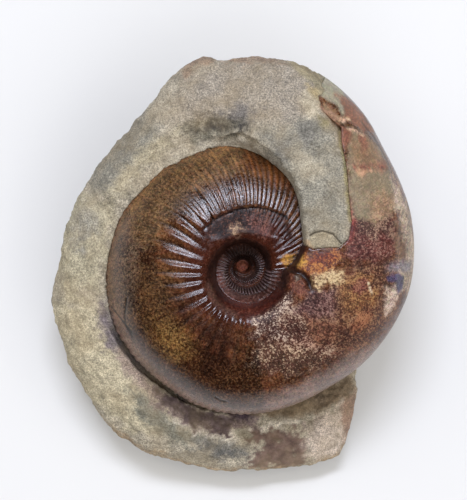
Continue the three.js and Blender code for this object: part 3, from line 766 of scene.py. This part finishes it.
# Painted shade: the inner whorls in the upper half of the pit, in the shadow of its upper wall, go very dark.
painted_shade_top = step(heading, 20, 60) * (1 - step(heading, 130, 170)) * ~last
for share, row in (
    # painted shade, in part: the wall of the pit, darker than the shell round it
    (wall, look("#28120b", "#54321f", 0.25, 0.4)),
    # painted light: the lower wall, which faces the window, lighter and redder
    (wall * sunlit, look("#43190f", "#7a4832", 0.25, 0.36)),
    (lip, look("#6a4a3c", "#8c6c5a", 0.35, 0.32)),
    (~last * 1.0, look("#50291e", "#8c685c", 0.3, 0.3)),
    (~last * step(station, 84, 94), look("#2c1a15", "#5c463e", 0.2, 0.3)),
    # The whorls in it have grey ribs: painted sheen, the crests of the inner whorls' ribs lightened to
    # grey-lilac.
    (~last * step(inner_whorl_ribs(coil_angle, station), 0.12, 0.4), look("#584644", "#867674", 0.3, 0.26)),
    (~last * step(station, 132, 156), look("#4d2614", "#84502c", 0.3, 0.36)),
    # painted shade over the upper half of the inner whorls
    (painted_shade_top * PAINTED_SHADE_SHARE, look("#170d0a", "#3c2a22", 0.15, 0.45)),
    # partly painted light: the knob is painted a lighter pink than its own colour, as if lit deep in the pit
    (~last * (1 - step(from_axis, 1.5, 2.1)), look("#b86c56", "#c48c78", 0.3, 0.4)),
):
    looks += share[:, None] * (row - looks)
# painted shade in the hollows between the ribs
looks[:, :3] *= 1 - GROOVE_SHADE * (groove * ribbed)[:, None]

# Painted shade: each crack is darkened in colour by its depth, as the shade in the crevice, as well as sunk.
crack = np.zeros(len(shell_points))
sunk = np.zeros(len(shell_points))
for deep, wide, line in SHELL_CRACKS:
    near = 1 - step(from_line(shell_points, line), 0.1, wide)
    crack = np.maximum(crack, near * min(1, deep / CRACK_SHADE_DEPTH))
    sunk = np.maximum(sunk, deep * near)
relief = -sunk
for height, soft, outline in SHELL_STEPS:
    relief += height * step(within(shell_points, outline), -soft / 2, soft / 2)
stripped = step(within(shell_points, STRIPPED), -0.2, 0.2) * step(from_axis, 11.5, 15)
relief -= STRIPPED_DEPTH * stripped
from_bead = np.hypot(shell_points[:, 0] - BEAD[0], shell_points[:, 1] - BEAD[1])
relief += BEAD[3] * np.sqrt(np.clip(1 - (from_bead / BEAD[2]) ** 2, 0, 1))
crust = step(looks[:, 3], 0.42, 0.7)
relief += crust * sum(height * lumps(shell_points, size, 5) for size, height in ROUGH_LUMPS)
relief += SWELL[1] * lumps(shell_points, SWELL[0], 3) * last
clear_of_tongue = step(-within(shell_points, TONGUE), 0.2, 1.6)
inside_rim = 1 - step(from_axis - venter(coil_angle), -5, -1.5)
clear_of_stone = np.where((heading > 75) & (heading < 300), inside_rim, 1) * clear_of_tongue
shell_points += shell_normals * (relief * is_face * clear_of_stone)[:, None]


def finished(name, points, faces):
    """The object of a finished piece, shaded smooth."""
    piece = in_scene(name, as_mesh(name, points, faces))
    piece.data.polygons.foreach_set("use_smooth", [True] * len(faces))
    return piece


shell = finished("ammonite_shell", settled(shell_points), shell_faces)
growth = np.zeros((len(station), 4))
growth[:, 0] = coil_angle * LINE_PITCH[0]
growth[:, 1] = station * LINE_PITCH[1]
for name, values in (("paint", looks[:, :4]), ("fleck", looks[:, 4:]), ("crack", crack), ("growth", growth)):
    write_on(shell.data, name, values)

# Calcite of the shell, polished when it was cleaned: brown layers mottled dark and golden, with fine growth
# lines along the ribs, and a dull crust of rust and cream grains where the top layer is gone.
SPECK = 0.5  # the grains of the crust are finer, and are drawn as coarse as they need to show
MOTTLE = 0.8
TINT = 1.3
CLOUD = 5
GROWTH_LINE = 0.45
PER_METRE = 1000  # the noise runs over the part in metres, and these sizes are in mm
calcite, tree, surface = new_material("polished_calcite")
place = add(tree, "TexCoord", {}, "Object")
paint, rough, fleck, cover, cracked, lines_at = (
    add(tree, "Attribute", {}, output, attribute_name=name)
    for name, output in (
        ("paint", "Color"), ("paint", "Alpha"), ("fleck", "Color"), ("fleck", "Alpha"), ("crack", "Fac"),
        ("growth", "Vector"),
    )
)
speck, mottle, cloud, lines = (
    add(tree, "TexNoise", {"Vector": at, "Scale": scale, "Detail": detail, "Roughness": roughness})
    for at, scale, detail, roughness in (
        (place, PER_METRE / SPECK, 3.0, 0.75), (place, PER_METRE / MOTTLE, 4.0, 0.7),
        (place, PER_METRE / CLOUD, 4.0, 0.65), (lines_at, 1 / GROWTH_LINE, 3.0, 0.6),
    )
)
tints = add(tree, "TexNoise", {
    "Vector": place, "Scale": PER_METRE / TINT, "Detail": 3.0, "Roughness": 0.7,
}, "Color")
fine, dark, deep, streak, calm, limit, clump, crusty, blend, crack_shade, dull = (
    add(tree, "MapRange", {"Value": value, "From Min": low, "From Max": high, "To Min": start, "To Max": end})
    for value, low, high, start, end in (
        (speck, 0.34, 0.66, 0.5, 1.46),  # fine: the tone of single grains
        (mottle, 0.35, 0.65, 0.72, 1.46),  # dark: of the mottling
        (cloud, 0.38, 0.62, 0.66, 1.3),  # deep: of the clouds
        (lines, 0.35, 0.65, 0.65, 1.3),  # streak: of the growth lines
        (cover, 0.08, 0.25, 0.3, 1.0),  # calm: how strongly all this shows, less where flecks are few
        (cover, 0.0, 1.0, 1.26, 0.74),  # limit: how high the noise has to be for a fleck
        (cloud, 0.35, 0.65, -0.1, 0.1),  # clump: where flecks gather
        (rough, 0.3, 0.44, 0.15, 1.0),  # crusty: how much they gather
        (rough, 0.3, 0.44, 0.4, 0.1),  # blend: how soft their edges are
        (cracked, 0.25, 0.8, 1.0, 0.22),  # painted shade: how dark a crack is painted
        (mottle, 0.34, 0.66, -0.05, 0.2),  # dull: what the mottling adds to the roughness
    )
)
tone = fine
for shade in (dark, deep, streak):
    tone = add(tree, "Math", {0: tone, 1: shade}, operation="MULTIPLY")
tints = add(tree, "VectorMath", {0: tints, 1: (0.8, 0.8, 0.8), 2: (0.6, 0.6, 0.6)}, operation="MULTIPLY_ADD")
tints = add(tree, "Mix", {0: calm, 6: (1.0, 1.0, 1.0, 1.0), 7: tints}, 2, data_type="RGBA")
base = add(tree, "VectorMath", {0: paint, 1: tints}, operation="MULTIPLY")
toned = add(tree, "VectorMath", {0: base, "Scale": tone}, operation="SCALE")
base = add(tree, "Mix", {0: calm, 6: base, 7: toned}, 2, data_type="RGBA")
both = add(tree, "Math", {0: mottle, 1: speck}, operation="ADD")
above = add(tree, "Math", {0: both, 1: limit}, operation="SUBTRACT")
above = add(tree, "Math", {0: clump, 1: crusty, 2: above}, operation="MULTIPLY_ADD")
share = add(tree, "MapRange", {"Value": above, "From Min": -0.1, "From Max": blend, "To Max": 0.85})
base = add(tree, "Mix", {0: share, 6: base, 7: fleck}, 2, data_type="RGBA")
# painted shade in the cracks
base = add(tree, "VectorMath", {0: base, "Scale": crack_shade}, operation="SCALE")
tree.links.new(base, surface.inputs["Base Color"])
tree.links.new(add(tree, "Math", {0: rough, 1: dull}, operation="ADD"), surface.inputs["Roughness"])
surface.inputs["IOR"].default_value = 1.6
height = add(tree, "Math", {0: lines, 1: both}, operation="ADD")
bump = add(tree, "Bump", {"Height": height, "Strength": 0.5, "Distance": 0.00007})
tree.links.new(bump, surface.inputs["Normal"])
shell.data.materials.append(calcite)

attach(shell, "root")
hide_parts("ammonite")

# The stone: one lump of fine sandstone, broken round the rim and rounded on its back, where it rests on a
# small flat spot. Rings run from under the coil over the collar to the rim and on round the back; the bed
# of the fossil is then cut out of them, so that the tongue is left lying on the flank of the last whorl.
RIM = [
    [0, 47, -13], [20, 47, -13], [35, 50, -10], [45, 55, -6], [55, 58.5, -3], [64, 61.8, 5], [70, 64.4, 8],
    [76, 65.8, 8.4], [82, 65.3, 8.4], [90, 64.7, 7.9], [96, 64.8, 6.8], [100, 65.9, 6], [104, 64.8, 5.2],
    [111, 61.6, 3.7], [120, 58.3, 2], [130, 55.9, 0.6], [140, 54.7, -0.6], [150, 54.9, -2], [160, 55.5, -3.3],
    [170, 55.8, -4.6], [180, 57.8, -5.9], [190, 60.9, -6.9], [200, 60.6, -7.9], [206, 61.8, -8.5],
    [213, 62.5, -9.2], [220, 63.4, -9.9], [230, 65.9, -10.9], [240, 66.6, -11.9], [250, 65.3, -12.6],
    [260, 65.6, -13.3], [270, 65.1, -14], [280, 65.8, -14.6], [290, 67.2, -15.3], [296, 67.4, -15.7],
    [300, 65, -16], [305, 60, -15.7], [310, 55.4, -15.3], [316, 50.3, -14.9], [322, 47, -14], [335, 46, -13],
    [360, 47, -13],
]  # angle on the face, radius of the rim, height of the rim
COLLAR = [
    [0, 36, -13, 2, -13, -13, -13, -13], [10, 18.5, 11, 1.2, 23.4, 23.2, 21, 17.8],
    [20, 18.7, 12, 1.2, 23.3, 23, 21.2, 18.4], [30, 19.8, 12, 1.2, 23, 22.7, 20.8, 17.6],
    [41, 22.3, 12, 1.2, 22.7, 22.3, 20, 15.8], [55, 27.1, 11, 1.2, 22.4, 22, 19, 12],
    [66, 30.5, 11, 1.2, 22.2, 22.4, 19.9, 14.6], [75, 33, 10, 1.2, 21.8, 22, 19.4, 14.2],
    [84, 35.6, 10, 1.2, 20, 20.4, 17.6, 12.8], [91, 36.8, 9, 1.6, 16.5, 18.6, 16, 11.5],
    [105, 37.6, 9, 2.5, 11, 14.5, 13, 8.6], [120, 38.3, 9, 3, 9.5, 12, 10, 5.6],
    [150, 39.8, 8, 3, 8.2, 8, 5, 1.1], [180, 41.5, 6, 3, 5.8, 5, 2, -2.3],
    [210, 43.3, 1.5, 3, 2, 2, -1, -5.4],
    [240, 44.4, -4, 3, -2.5, -1.5, -4, -8.3], [270, 45.4, -8, 3, -7, -6, -8, -11.3],
    [300, 45.4, -12, 3, -11, -10, -12, -14.2], [320, 43, -14, 2, -14, -14, -14, -14],
    [360, 36, -13, 2, -13, -13, -13, -13],
]  # angle, radius and height of the contact, lip width, heights of the lip, 1/3, 2/3 and 9/10 of the way
STONE_BACK = -34
BACK_SQUARENESS = 2.3
BACK_WEDGE = 1.1
CORE_RADIUS = 10
BED_FLOOR = 8
STONE_COLUMNS = 760
BED_COARSENESS = 2.0  # the bed's rings lie this many times further apart than the coil's own
FACE_STEPS = (3, 9, 6, 24, 24, 18, 10)  # rings between one line of the face and the next
BACK_STEPS = 58
CORNER_PASSES = 9  # how often the corners between those lines are rounded off


def stone_rings():
    """The lump before the bed is cut, as rings from under the coil to the lowest point of the back."""
    angles = np.arange(STONE_COLUMNS) / STONE_COLUMNS * 360
    rim, rim_height = (curve_through(RIM, column)(angles) for column in (1, 2))
    contact, low, lip_width, lip_height, third, two_thirds, nine_tenths = (
        curve_through(COLLAR, column)(angles) for column in range(1, 8)
    )
    lip = contact + lip_width
    width = rim - lip
    lines = [
        (np.full(len(angles), CORE_RADIUS), np.minimum(low, 0)), (contact - BED_FLOOR, low), (contact, low),
        (lip, lip_height), (lip + width / 3, third), (lip + width * 2 / 3, two_thirds),
        (lip + width * 0.9, nine_tenths), (rim, rim_height),
    ]
    rows = []
    for count, (start, end) in zip(FACE_STEPS, zip(lines[:-1], lines[1:])):
        for part in np.arange(count) / count:
            rows.append([start[i] + (end[i] - start[i]) * part for i in (0, 1)])
    for part in np.arange(BACK_STEPS) / BACK_STEPS:
        across = math.cos(part * math.pi / 2) ** (2 / BACK_SQUARENESS)
        down = math.sin(part * math.pi / 2) ** (2 / BACK_SQUARENESS)
        v = rim * across * np.sin(np.radians(angles))
        wedge = v * math.tan(FACE_TILT) * BACK_WEDGE * down
        rows.append([rim * across, rim_height + (STONE_BACK - rim_height) * down - wedge])
    rows = np.array(rows)
    for _ in range(CORNER_PASSES):
        rows[1:-1] = (rows[:-2] + 2 * rows[1:-1] + rows[2:]) / 4
    turn = np.radians(angles)
    return np.stack([rows[:, 0] * np.cos(turn), rows[:, 0] * np.sin(turn), rows[:, 1]], axis=2)


STONE_LUMPS = ((16, 1.0), (7, 0.7), (3, 0.42), (1.3, 0.28), (0.8, 0.17))  # size and height of each, in mm
HOLLOW = [
    (-19.7, 42.1), (-13, 45), (-3.3, 45.4), (1, 43.5), (-2, 39.5), (-6.3, 39.1), (-10.6, 36.7), (-16.1, 37.9),
]
NOTCH = [
    (-6.5, 38.3), (-4, 39.6), (-1, 40.2), (1.2, 39.3), (3.5, 37.9), (6.3, 36), (9.4, 33.6), (12, 30.6),
    (11.2, 30), (8.6, 32.8), (6, 34.8), (3, 36.6), (1, 37.6), (-1.2, 38.4), (-4, 38.1),
]
CHIP_CRACK = [(20, 9.3), (21.5, 10.2), (23.8, 10.7), (26.9, 9.8), (29.4, 6.9)]
CHIP = CHIP_CRACK + [(28.5, 5), (20, 4.5)]
MOAT_FROM = (200, 214)  # the headings over which the narrow gap along the coil opens
MOAT_TO = (270, 284)  # and over which it closes again
MOAT_HALF_WIDTH = 0.8
MOAT_OUT = 0.4  # how far the middle of the gap lies outside the rim of the coil
MOAT_DEPTH = 3
BAND_BED_DEPTH = 1.7
LUMPS_BY_BAND = 0.3
HOLLOW_DEPTH = 1.0
NOTCH_DEPTH = 2.6
CHIP_DEPTH = 0.5
# how much darker the narrow gap under the coil is painted, as the shade in it
MOAT_PAINTED_SHADE = 0.7
STONE_GROUND = ("#b0a691", "#6a655c", 0.24)
# As on the shell, the outlines lie on the face. The rows have no roughness.
STONE_PATCHES = (
    ("#a49a8a", "#56524a", 0.36, 5.0, 2.0, [
        (-22, 44), (-18, 58), (-8, 64), (10, 66), (20, 62), (26, 56), (24, 44), (14, 38), (5, 40), (-8, 42),
    ]),
    ("#938e7f", "#5f5d54", 0.28, 3.0, 1.0, [
        (0.4, 43), (8.8, 33), (16, 23), (17.8, 7), (30.2, 5), (32.5, 20), (30.2, 35), (24, 46), (12, 42),
    ]),
    ("#aea692", "#837d6e", 0.15, 1.5, 1.2, [(14, 34), (20, 33.5), (25, 29), (21, 26), (15, 28)]),
    # partly painted shade: the hollow above the coil, a darker grey
    ("#87816f", "#4c4a45", 0.36, 2.0, 2.0, HOLLOW),
    ("#87817a", "#4a4846", 0.42, 1.6, 2.0, [
        (-8.7, 46.7), (-0.8, 49), (5.7, 47), (3.9, 44.6), (-3.3, 44.8),
    ]),
    ("#858176", "#5b5953", 0.35, 2.0, 1.6, [
        (16.5, 41.5), (20.8, 43.4), (22.5, 39.2), (19.5, 36.1), (16.5, 37.9),
    ]),
    ("#858176", "#5b5953", 0.35, 2.0, 1.6, [
        (7.5, 38.5), (14.1, 37.9), (15.3, 33.1), (12.3, 31.3), (8.1, 34.4),
    ]),
    # painted shade: the darkest smudge in the hollow above the coil
    ("#4e4a44", "#34322e", 0.4, 1.2, 1.8, [
        (-14.5, 41.2), (-10.5, 43.3), (-4, 43.6), (-0.2, 42.2), (-4, 41.4), (-9.5, 41.3),
    ]),
    ("#b0a793", "#857f70", 0.12, 0.8, 0.6, [
        (-13, 38.2), (-6.9, 39), (-4.5, 38.4), (-1, 38.1), (2.5, 37), (5.5, 35.2), (8, 32), (2, 35.8),
        (-6.9, 37), (-13, 35.6),
    ]),
    ("#98836f", "#6a5648", 0.3, 1.2, 1.4, [
        (-19.5, 62.5), (-14, 68), (-0.8, 69), (10.1, 69), (18.8, 66.3), (26.6, 60.3), (23, 55.7),
        (15.4, 61.3), (6, 62.8), (-0.8, 61.6), (-8, 63), (-13, 61.4), (-17.3, 58.2),
    ]),
    ("#aa9a76", "#8a7a4e", 0.35, 1.4, 1.4, [
        (19.8, 55.3), (24.1, 54.9), (24.5, 50.9), (22.8, 49.2), (20.3, 50.2),
    ]),
    ("#938a70", "#aaa288", 0.15, 0.9, 0.8, [
        (12, 63.5), (16, 60), (19.5, 56), (22.8, 53.6), (25, 50.6), (26.6, 48), (29.5, 45.4), (31.5, 47),
        (28, 55), (20, 64),
    ]),
    ("#bcb29c", "#9a9280", 0.1, 0.7, 1.0, [
        (18.7, 52.5), (22.7, 50.2), (23.2, 45.9), (20.2, 44.9), (17.2, 49.3),
    ]),
    ("#8c8260", "#6e6644", 0.25, 1.4, 1.0, [(22.6, 45.3), (26.3, 44.8), (26.9, 42.3), (23.8, 41.6)]),
    ("#a3836c", "#8a6652", 0.3, 1.2, 1.0, [(23.5, 48.6), (26, 47.5), (28.6, 44), (27, 43.4), (24.4, 45.8)]),
    ("#8f8a7b", "#605d56", 0.36, 4.0, 2.5, [
        (-44.2, 42.8), (-30.2, 48.4), (-25.2, 40), (-31.3, 27.9), (-40, 20.3), (-46.6, 23.6), (-48.5, 32.9),
    ]),
    ("#b0a68c", "#8a8370", 0.16, 2.0, 1.5, [
        (-37.4, 29), (-30, 36), (-20, 42), (-22, 37), (-31, 29), (-38.5, 20), (-41.5, 9), (-41.6, 0),
        (-44, 2), (-44, 12), (-42, 22),
    ]),
    ("#b1a88d", "#8c8570", 0.14, 3.5, 2.0, [
        (-60, 15.9), (-54, 26), (-49, 23), (-42.5, 18.8), (-41.9, 5), (-43.9, -7.3), (-53.3, -10.5),
        (-62, 1.9),
    ]),
    ("#a09b8c", "#6a665e", 0.3, 3.0, 2.5, [
        (-52.4, 15.9), (-46.3, 18.8), (-44.4, 11.1), (-48.8, 5), (-52.8, 8.1),
    ]),
    ("#bcb194", "#958c72", 0.14, 3.0, 2.0, [
        (-60, -12), (-43.9, -10.4), (-39.5, -21), (-30, -35.5), (-20, -44), (-20, -52), (-36, -52),
        (-49, -42), (-58, -28),
    ]),
    ("#7d7c6e", "#5e5c52", 0.3, 2.5, 2.0, [
        (-36, -37.5), (-30, -39), (-22, -47), (-12, -52.5), (-12, -57), (-22, -55), (-33, -46),
    ]),
    ("#6c6a64", "#4a4945", 0.3, 2.6, 2.0, [
        (-14, -52.8), (-6, -55.4), (3, -57.5), (2, -60.6), (-8, -60), (-15, -57),
    ]),
    ("#ece2ce", "#bab4a2", 0.12, 2.0, 2.0, [
        (-22, -47.6), (-13, -51.5), (-2.3, -54), (6.1, -53), (13, -50.5), (17, -49), (12, -48.6), (2, -50.8),
        (-10, -49.5), (-18, -45),
    ]),
    ("#624a46", "#9c8876", 0.34, 2.0, 3.6, [
        (1, -52.8), (6.3, -50.7), (12.6, -51.7), (18.8, -51.7), (20.4, -57), (20.4, -64), (12.6, -66),
        (6.3, -65), (3.1, -61.1), (4.2, -57),
    ]),
    ("#c8b8a6", "#94867a", 0.25, 1.8, 1.8, [
        (20.5, -50), (28, -45), (34, -38), (36.8, -46), (34.6, -60), (24, -64), (20.5, -60),
    ]),
    ("#a08472", "#7c5c4a", 0.3, 1.4, 1.0, [
        (31, -44), (36, -39), (38, -48), (36, -58), (32.4, -56), (31.4, -50),
    ]),
    ("#857a78", "#5a5056", 0.4, 2.4, 2.0, [
        (-43.9, -10.4), (-41.1, -12.4), (-40.3, -17.2), (-36.5, -24.5), (-28.8, -33.9), (-31, -35.5),
        (-39.5, -27.5), (-44, -21),
    ]),
    ("#b3a08f", "#6a585a", 0.45, 1.4, 1.4, [
        (-38.5, -25), (-35, -28.5), (-30, -34.5), (-25, -39.8), (-27.5, -42), (-33, -37), (-38.5, -29.5),
    ]),
    ("#8a7870", "#544650", 0.5, 1.0, 1.2, [
        (-28, -36.5), (-18.8, -42), (-11.5, -45.4), (-2.1, -46.7), (6, -47), (5, -50.4), (-2.1, -51.8),
        (-7.3, -53), (-15.6, -50.3), (-22, -47), (-28, -41.5),
    ]),
    ("#55454c", "#988a80", 0.22, 0.8, 2.4, [
        (-26.1, -38.9), (-18.8, -42.5), (-11.5, -45.6), (-2.1, -46.9), (4.1, -47.2), (3, -49.6),
        (-2.1, -49.2), (-3.7, -51.6), (-7.3, -52), (-11.5, -50.2), (-15.6, -49.5), (-20.9, -46.4),
        (-25, -42.7),
    ]),
    ("#9d9685", "#6d6a60", 0.3, 0.6, 0.8, [
        (-23, -37.7), (-14, -42.6), (-5, -45.4), (-5.5, -46.4), (-14.5, -43.6), (-22.5, -39),
    ]),
    ("#a39d8b", "#77736a", 0.15, 0.4, 0.6, [(-3.9, -51.3), (0.8, -50.8), (3, -53.3), (-0.8, -54.1)]),
    # painted shadow: the strip of stone in the shadow of the overhanging coil, darker and browner
    ("#7e6c56", "#94846a", 0.3, 1.4, 0.8, [
        (2.2, -43), (18.1, -42), (34.5, -34), (35.7, -40), (27.6, -45), (16.9, -47.7), (8.1, -47.6),
        (3, -46.5),
    ]),
    ("#b09a7c", "#86705a", 0.35, 1.0, 1.2, [
        (-62, -30), (-42, -50), (-30.5, -57.2), (-14, -63.4), (2.4, -64.9), (18.3, -64), (30.6, -59.4),
        (34.5, -54), (42, -60), (10, -75), (-40, -70), (-70, -40),
    ]),
    ("#938a62", "#7a7048", 0.25, 0.4, 0.4, [
        (28.6, 42), (28.8, 36.6), (30.2, 30.2), (30.9, 21.7), (31.7, 13.4), (34, 13.4), (33.5, 30), (31, 42),
    ]),
    ("#a0967f", "#77715f", 0.3, 0.2, 0.2, CHIP),
    ("#b8a080", "#8c6e50", 0.3, 0.3, 0.4, [
        (17, 7.5), (19.5, 8.6), (20, 6.6), (21.5, 5.6), (17.5, 5.6),
    ]),
)


def in_moat(points, facing_up, ragged_by, fade):
    """1 in the narrow gap along the lower edge of the coil, and 0 elsewhere."""
    from_axis, polar = coil_radius(points)
    along = step(polar, *MOAT_FROM) * (1 - step(polar, *MOAT_TO))
    off_middle = abs(from_axis - venter(polar) - MOAT_OUT - ragged_by)
    return along * (facing_up * (1 - step(off_middle, MOAT_HALF_WIDTH, fade)))


block = skin_over(stone_rings())
mesh = block.data
stone_points = three_each(mesh.vertices, "co").astype(float)
stone_normals = normals_of(mesh)
relief = sum(height * lumps(stone_points, size, seed) for seed, (size, height) in enumerate(STONE_LUMPS))
_, polar = coil_radius(stone_points)
facing_up = step(stone_normals[:, 2], 0.0, 0.5)
on_tongue = within(stone_points, TONGUE)
# To the right of the tongue the stone lies lower, under the outer band, and it is smoother along the band.
under_band = (polar < 68) & (stone_points[:, 0] > 12)
by_band = (polar < 90) & (on_tongue > -2) & (on_tongue < 4)
relief *= np.where(by_band, LUMPS_BY_BAND, 1)
clear_of_top = 1 - step(stone_points[:, 1], 42, 46)
relief -= BAND_BED_DEPTH * step(-on_tongue, 0.2, 1.6) * under_band * facing_up * clear_of_top
relief -= HOLLOW_DEPTH * facing_up * step(within(stone_points, HOLLOW), -3, 3)
ragged_notch = within(stone_points, NOTCH) + 0.4 * lumps(stone_points, 1.5, 8)
relief -= NOTCH_DEPTH * facing_up * step(ragged_notch, -0.4, 0.5)
relief -= CHIP_DEPTH * facing_up * step(within(stone_points, CHIP), -0.1, 0.5)
relief -= CHIP_DEPTH * facing_up * (1 - step(from_line(stone_points, CHIP_CRACK), 0.1, 0.5))
relief -= MOAT_DEPTH * in_moat(stone_points, facing_up, 0.4 * lumps(stone_points, 2, 9), 1.5)
stone_points += stone_normals * relief[:, None]
mesh.vertices.foreach_set("co", stone_points.ravel().astype(np.float32))
mesh.update()

bed = coil_pieces(BED_GAP, BED_COARSENESS) + knob_and_plug(BED_GAP) + [outer_band(BAND_GAP)]
stone_points, stone_faces = carved(block, [("DIFFERENCE", tool) for tool in bed], MOST_TRIANGLES)
stone_places = settled(stone_points)
stone_places[:, 2] = np.maximum(stone_places[:, 2], 0)
stone = finished("matrix_stone", stone_places, stone_faces)
facing = step(normals_of(stone.data)[:, 2], -0.1, 0.35)
stone_looks = patchwork(stone_points, STONE_GROUND, STONE_PATCHES, 3, facing)
# Painted shade: the crack round the chip is darkened in colour, as the shade in it.
from_chip = 1 - step(from_line(stone_points, CHIP_CRACK), 0.1, 0.4)
# Painted shade: the narrow gap under the lower edge of the coil is darkened in colour.
stone_looks[:, :3] *= 1 - MOAT_PAINTED_SHADE * in_moat(stone_points, 1, 0, 1.8)[:, None]
for name, values in (("paint", stone_looks[:, :4]), ("fleck", stone_looks[:, 4:]), ("crack", from_chip)):
    write_on(stone.data, name, values)

# Fine calcareous sandstone, broken by hand and weathered: matt, each grain of sand a little lighter or
# darker than the next, with soft clouds of grey and beige between. The grains are really 0.1 to 0.3 mm.
SAND_GRAIN = 0.5  # drawn as coarse as it needs to show
SAND_CLOUD = 3.2
SAND_DRIFT = 11
sandstone, tree, surface = new_material("broken_sandstone")
place = add(tree, "TexCoord", {}, "Object")
paint, fleck, cover, cracked = (
    add(tree, "Attribute", {}, output, attribute_name=name)
    for name, output in (("paint", "Color"), ("fleck", "Color"), ("fleck", "Alpha"), ("crack", "Fac"))
)
sand, cloud, drift = (
    add(tree, "TexNoise", {"Vector": place, "Scale": scale, "Detail": detail, "Roughness": roughness})
    for scale, detail, roughness in (
        (PER_METRE / SAND_GRAIN, 3.0, 0.8), (PER_METRE / SAND_CLOUD, 5.0, 0.7),
        (PER_METRE / SAND_DRIFT, 3.0, 0.55),
    )
)
both = add(tree, "Math", {0: cloud, 1: sand}, operation="SUBTRACT")
sandy, cloudy, warm, limit, crack_shade = (
    add(tree, "MapRange", {"Value": value, "From Min": low, "From Max": high, "To Min": start, "To Max": end})
    for value, low, high, start, end in (
        (sand, 0.34, 0.66, 0.42, 1.52),  # sandy: the tone of single grains
        (cloud, 0.35, 0.65, 0.6, 1.28),  # cloudy: of the clouds
        (drift, 0.4, 0.65, 0.0, 0.36),  # warm: how much beige there is
        (cover, 0.0, 1.0, 0.24, -0.24),  # limit: how high the noise has to be for a fleck
        (cracked, 0.2, 0.8, 0.0, 0.75),  # painted shade: how dark the crack round the chip is painted
    )
)
tone = add(tree, "Math", {0: sandy, 1: cloudy}, operation="MULTIPLY")
base = add(tree, "VectorMath", {0: paint, "Scale": tone}, operation="SCALE")
base = add(tree, "Mix", {0: warm, 6: base, 7: to_linear("#a08c68")}, 2, data_type="RGBA")
above = add(tree, "Math", {0: both, 1: limit}, operation="SUBTRACT")
share = add(tree, "MapRange", {"Value": above, "From Min": -0.14, "From Max": 0.3, "To Max": 0.65})
base = add(tree, "Mix", {0: share, 6: base, 7: fleck}, 2, data_type="RGBA")
# painted shade in the crack round the chip
base = add(tree, "Mix", {0: crack_shade, 6: base, 7: to_linear("#3c3428")}, 2, data_type="RGBA")
tree.links.new(base, surface.inputs["Base Color"])
surface.inputs["Roughness"].default_value = 0.9
surface.inputs["IOR"].default_value = 1.55
height = add(tree, "Math", {0: sand, 1: cloud}, operation="ADD")
bump = add(tree, "Bump", {"Height": height, "Strength": 0.9, "Distance": 0.0004})
tree.links.new(bump, surface.inputs["Normal"])
stone.data.materials.append(sandstone)

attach(stone, "root")
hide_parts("stone")

# The pale sheet that the stone lies on, the soft light of a white room, and the camera, which looks straight
# at the face of the fossil from above, as the photograph was taken.
CAMERA_PLACE = (-2.8, 5.0, 620)
FOCAL_LENGTH = 144
LIGHTS = (
    ("window", (-60, 490, 1000), (560, 200), 8.6, "#e8edff", True),
    ("ceiling", (0, 0, 1400), (2200, 2200), 5.6, "#fffbf0", False),
    ("room_front", (250, -850, 900), (1000, 1000), 6.0, "#f6f6ff", False),
    ("room_left", (-900, 320, 1020), (800, 800), 2.2, "#fff4e2", False),
    ("room_right", (950, -150, 900), (900, 900), 3.6, "#fffaf4", False),
)  # name, place in the frame of the part in mm, width and height in mm, watts, colour, seen in the gloss
SHEET_REACH = 4.0  # half the width of the sheet, in metres, so that its edge is never seen

corners = np.array([(-1, -1, 0), (1, -1, 0), (1, 1, 0), (-1, 1, 0)]) * SHEET_REACH
floor = in_scene("floor", as_mesh("floor", corners, quads=[[0, 1, 2, 3]]))
# Plain white paper: matt, and smooth to the eye from this far.
paper, _, surface = new_material("white_paper_sheet")
surface.inputs["Base Color"].default_value = to_linear("#d8d8d5")
surface.inputs["Roughness"].default_value = 0.9
floor.data.materials.append(paper)

for name, place, (width, height), watts, colour, is_glossy in LIGHTS:
    lamp = bpy.data.lights.new(name, "AREA")
    lamp.shape = "RECTANGLE"
    lamp.size = width / 1000
    lamp.size_y = height / 1000
    lamp.energy = watts
    lamp.color = to_linear(colour)[:3]
    lamp_object = in_scene(name, lamp)
    lamp_object.location = [p / 1000 for p in place]
    lamp_object.visible_glossy = is_glossy
    lamp_object.rotation_euler = (-lamp_object.location).to_track_quat("-Z", "Y").to_euler()

world = bpy.data.worlds.new("white_room")
world.use_nodes = True
background = world.node_tree.nodes["Background"]
background.inputs["Color"].default_value = to_linear("#f7f8ff")
background.inputs["Strength"].default_value = 0.38
world.cycles_visibility.glossy = False  # the gloss shows the window alone
bpy.context.scene.world = world

camera_data = bpy.data.cameras.new("camera")
camera_data.lens = FOCAL_LENGTH
camera = in_scene("camera", camera_data)
camera.location = settled(np.array([CAMERA_PLACE], float))[0]
camera.rotation_euler = (FACE_TILT, 0, 0)
bpy.context.scene.camera = camera
bpy.context.scene.view_settings.view_transform = "Standard"
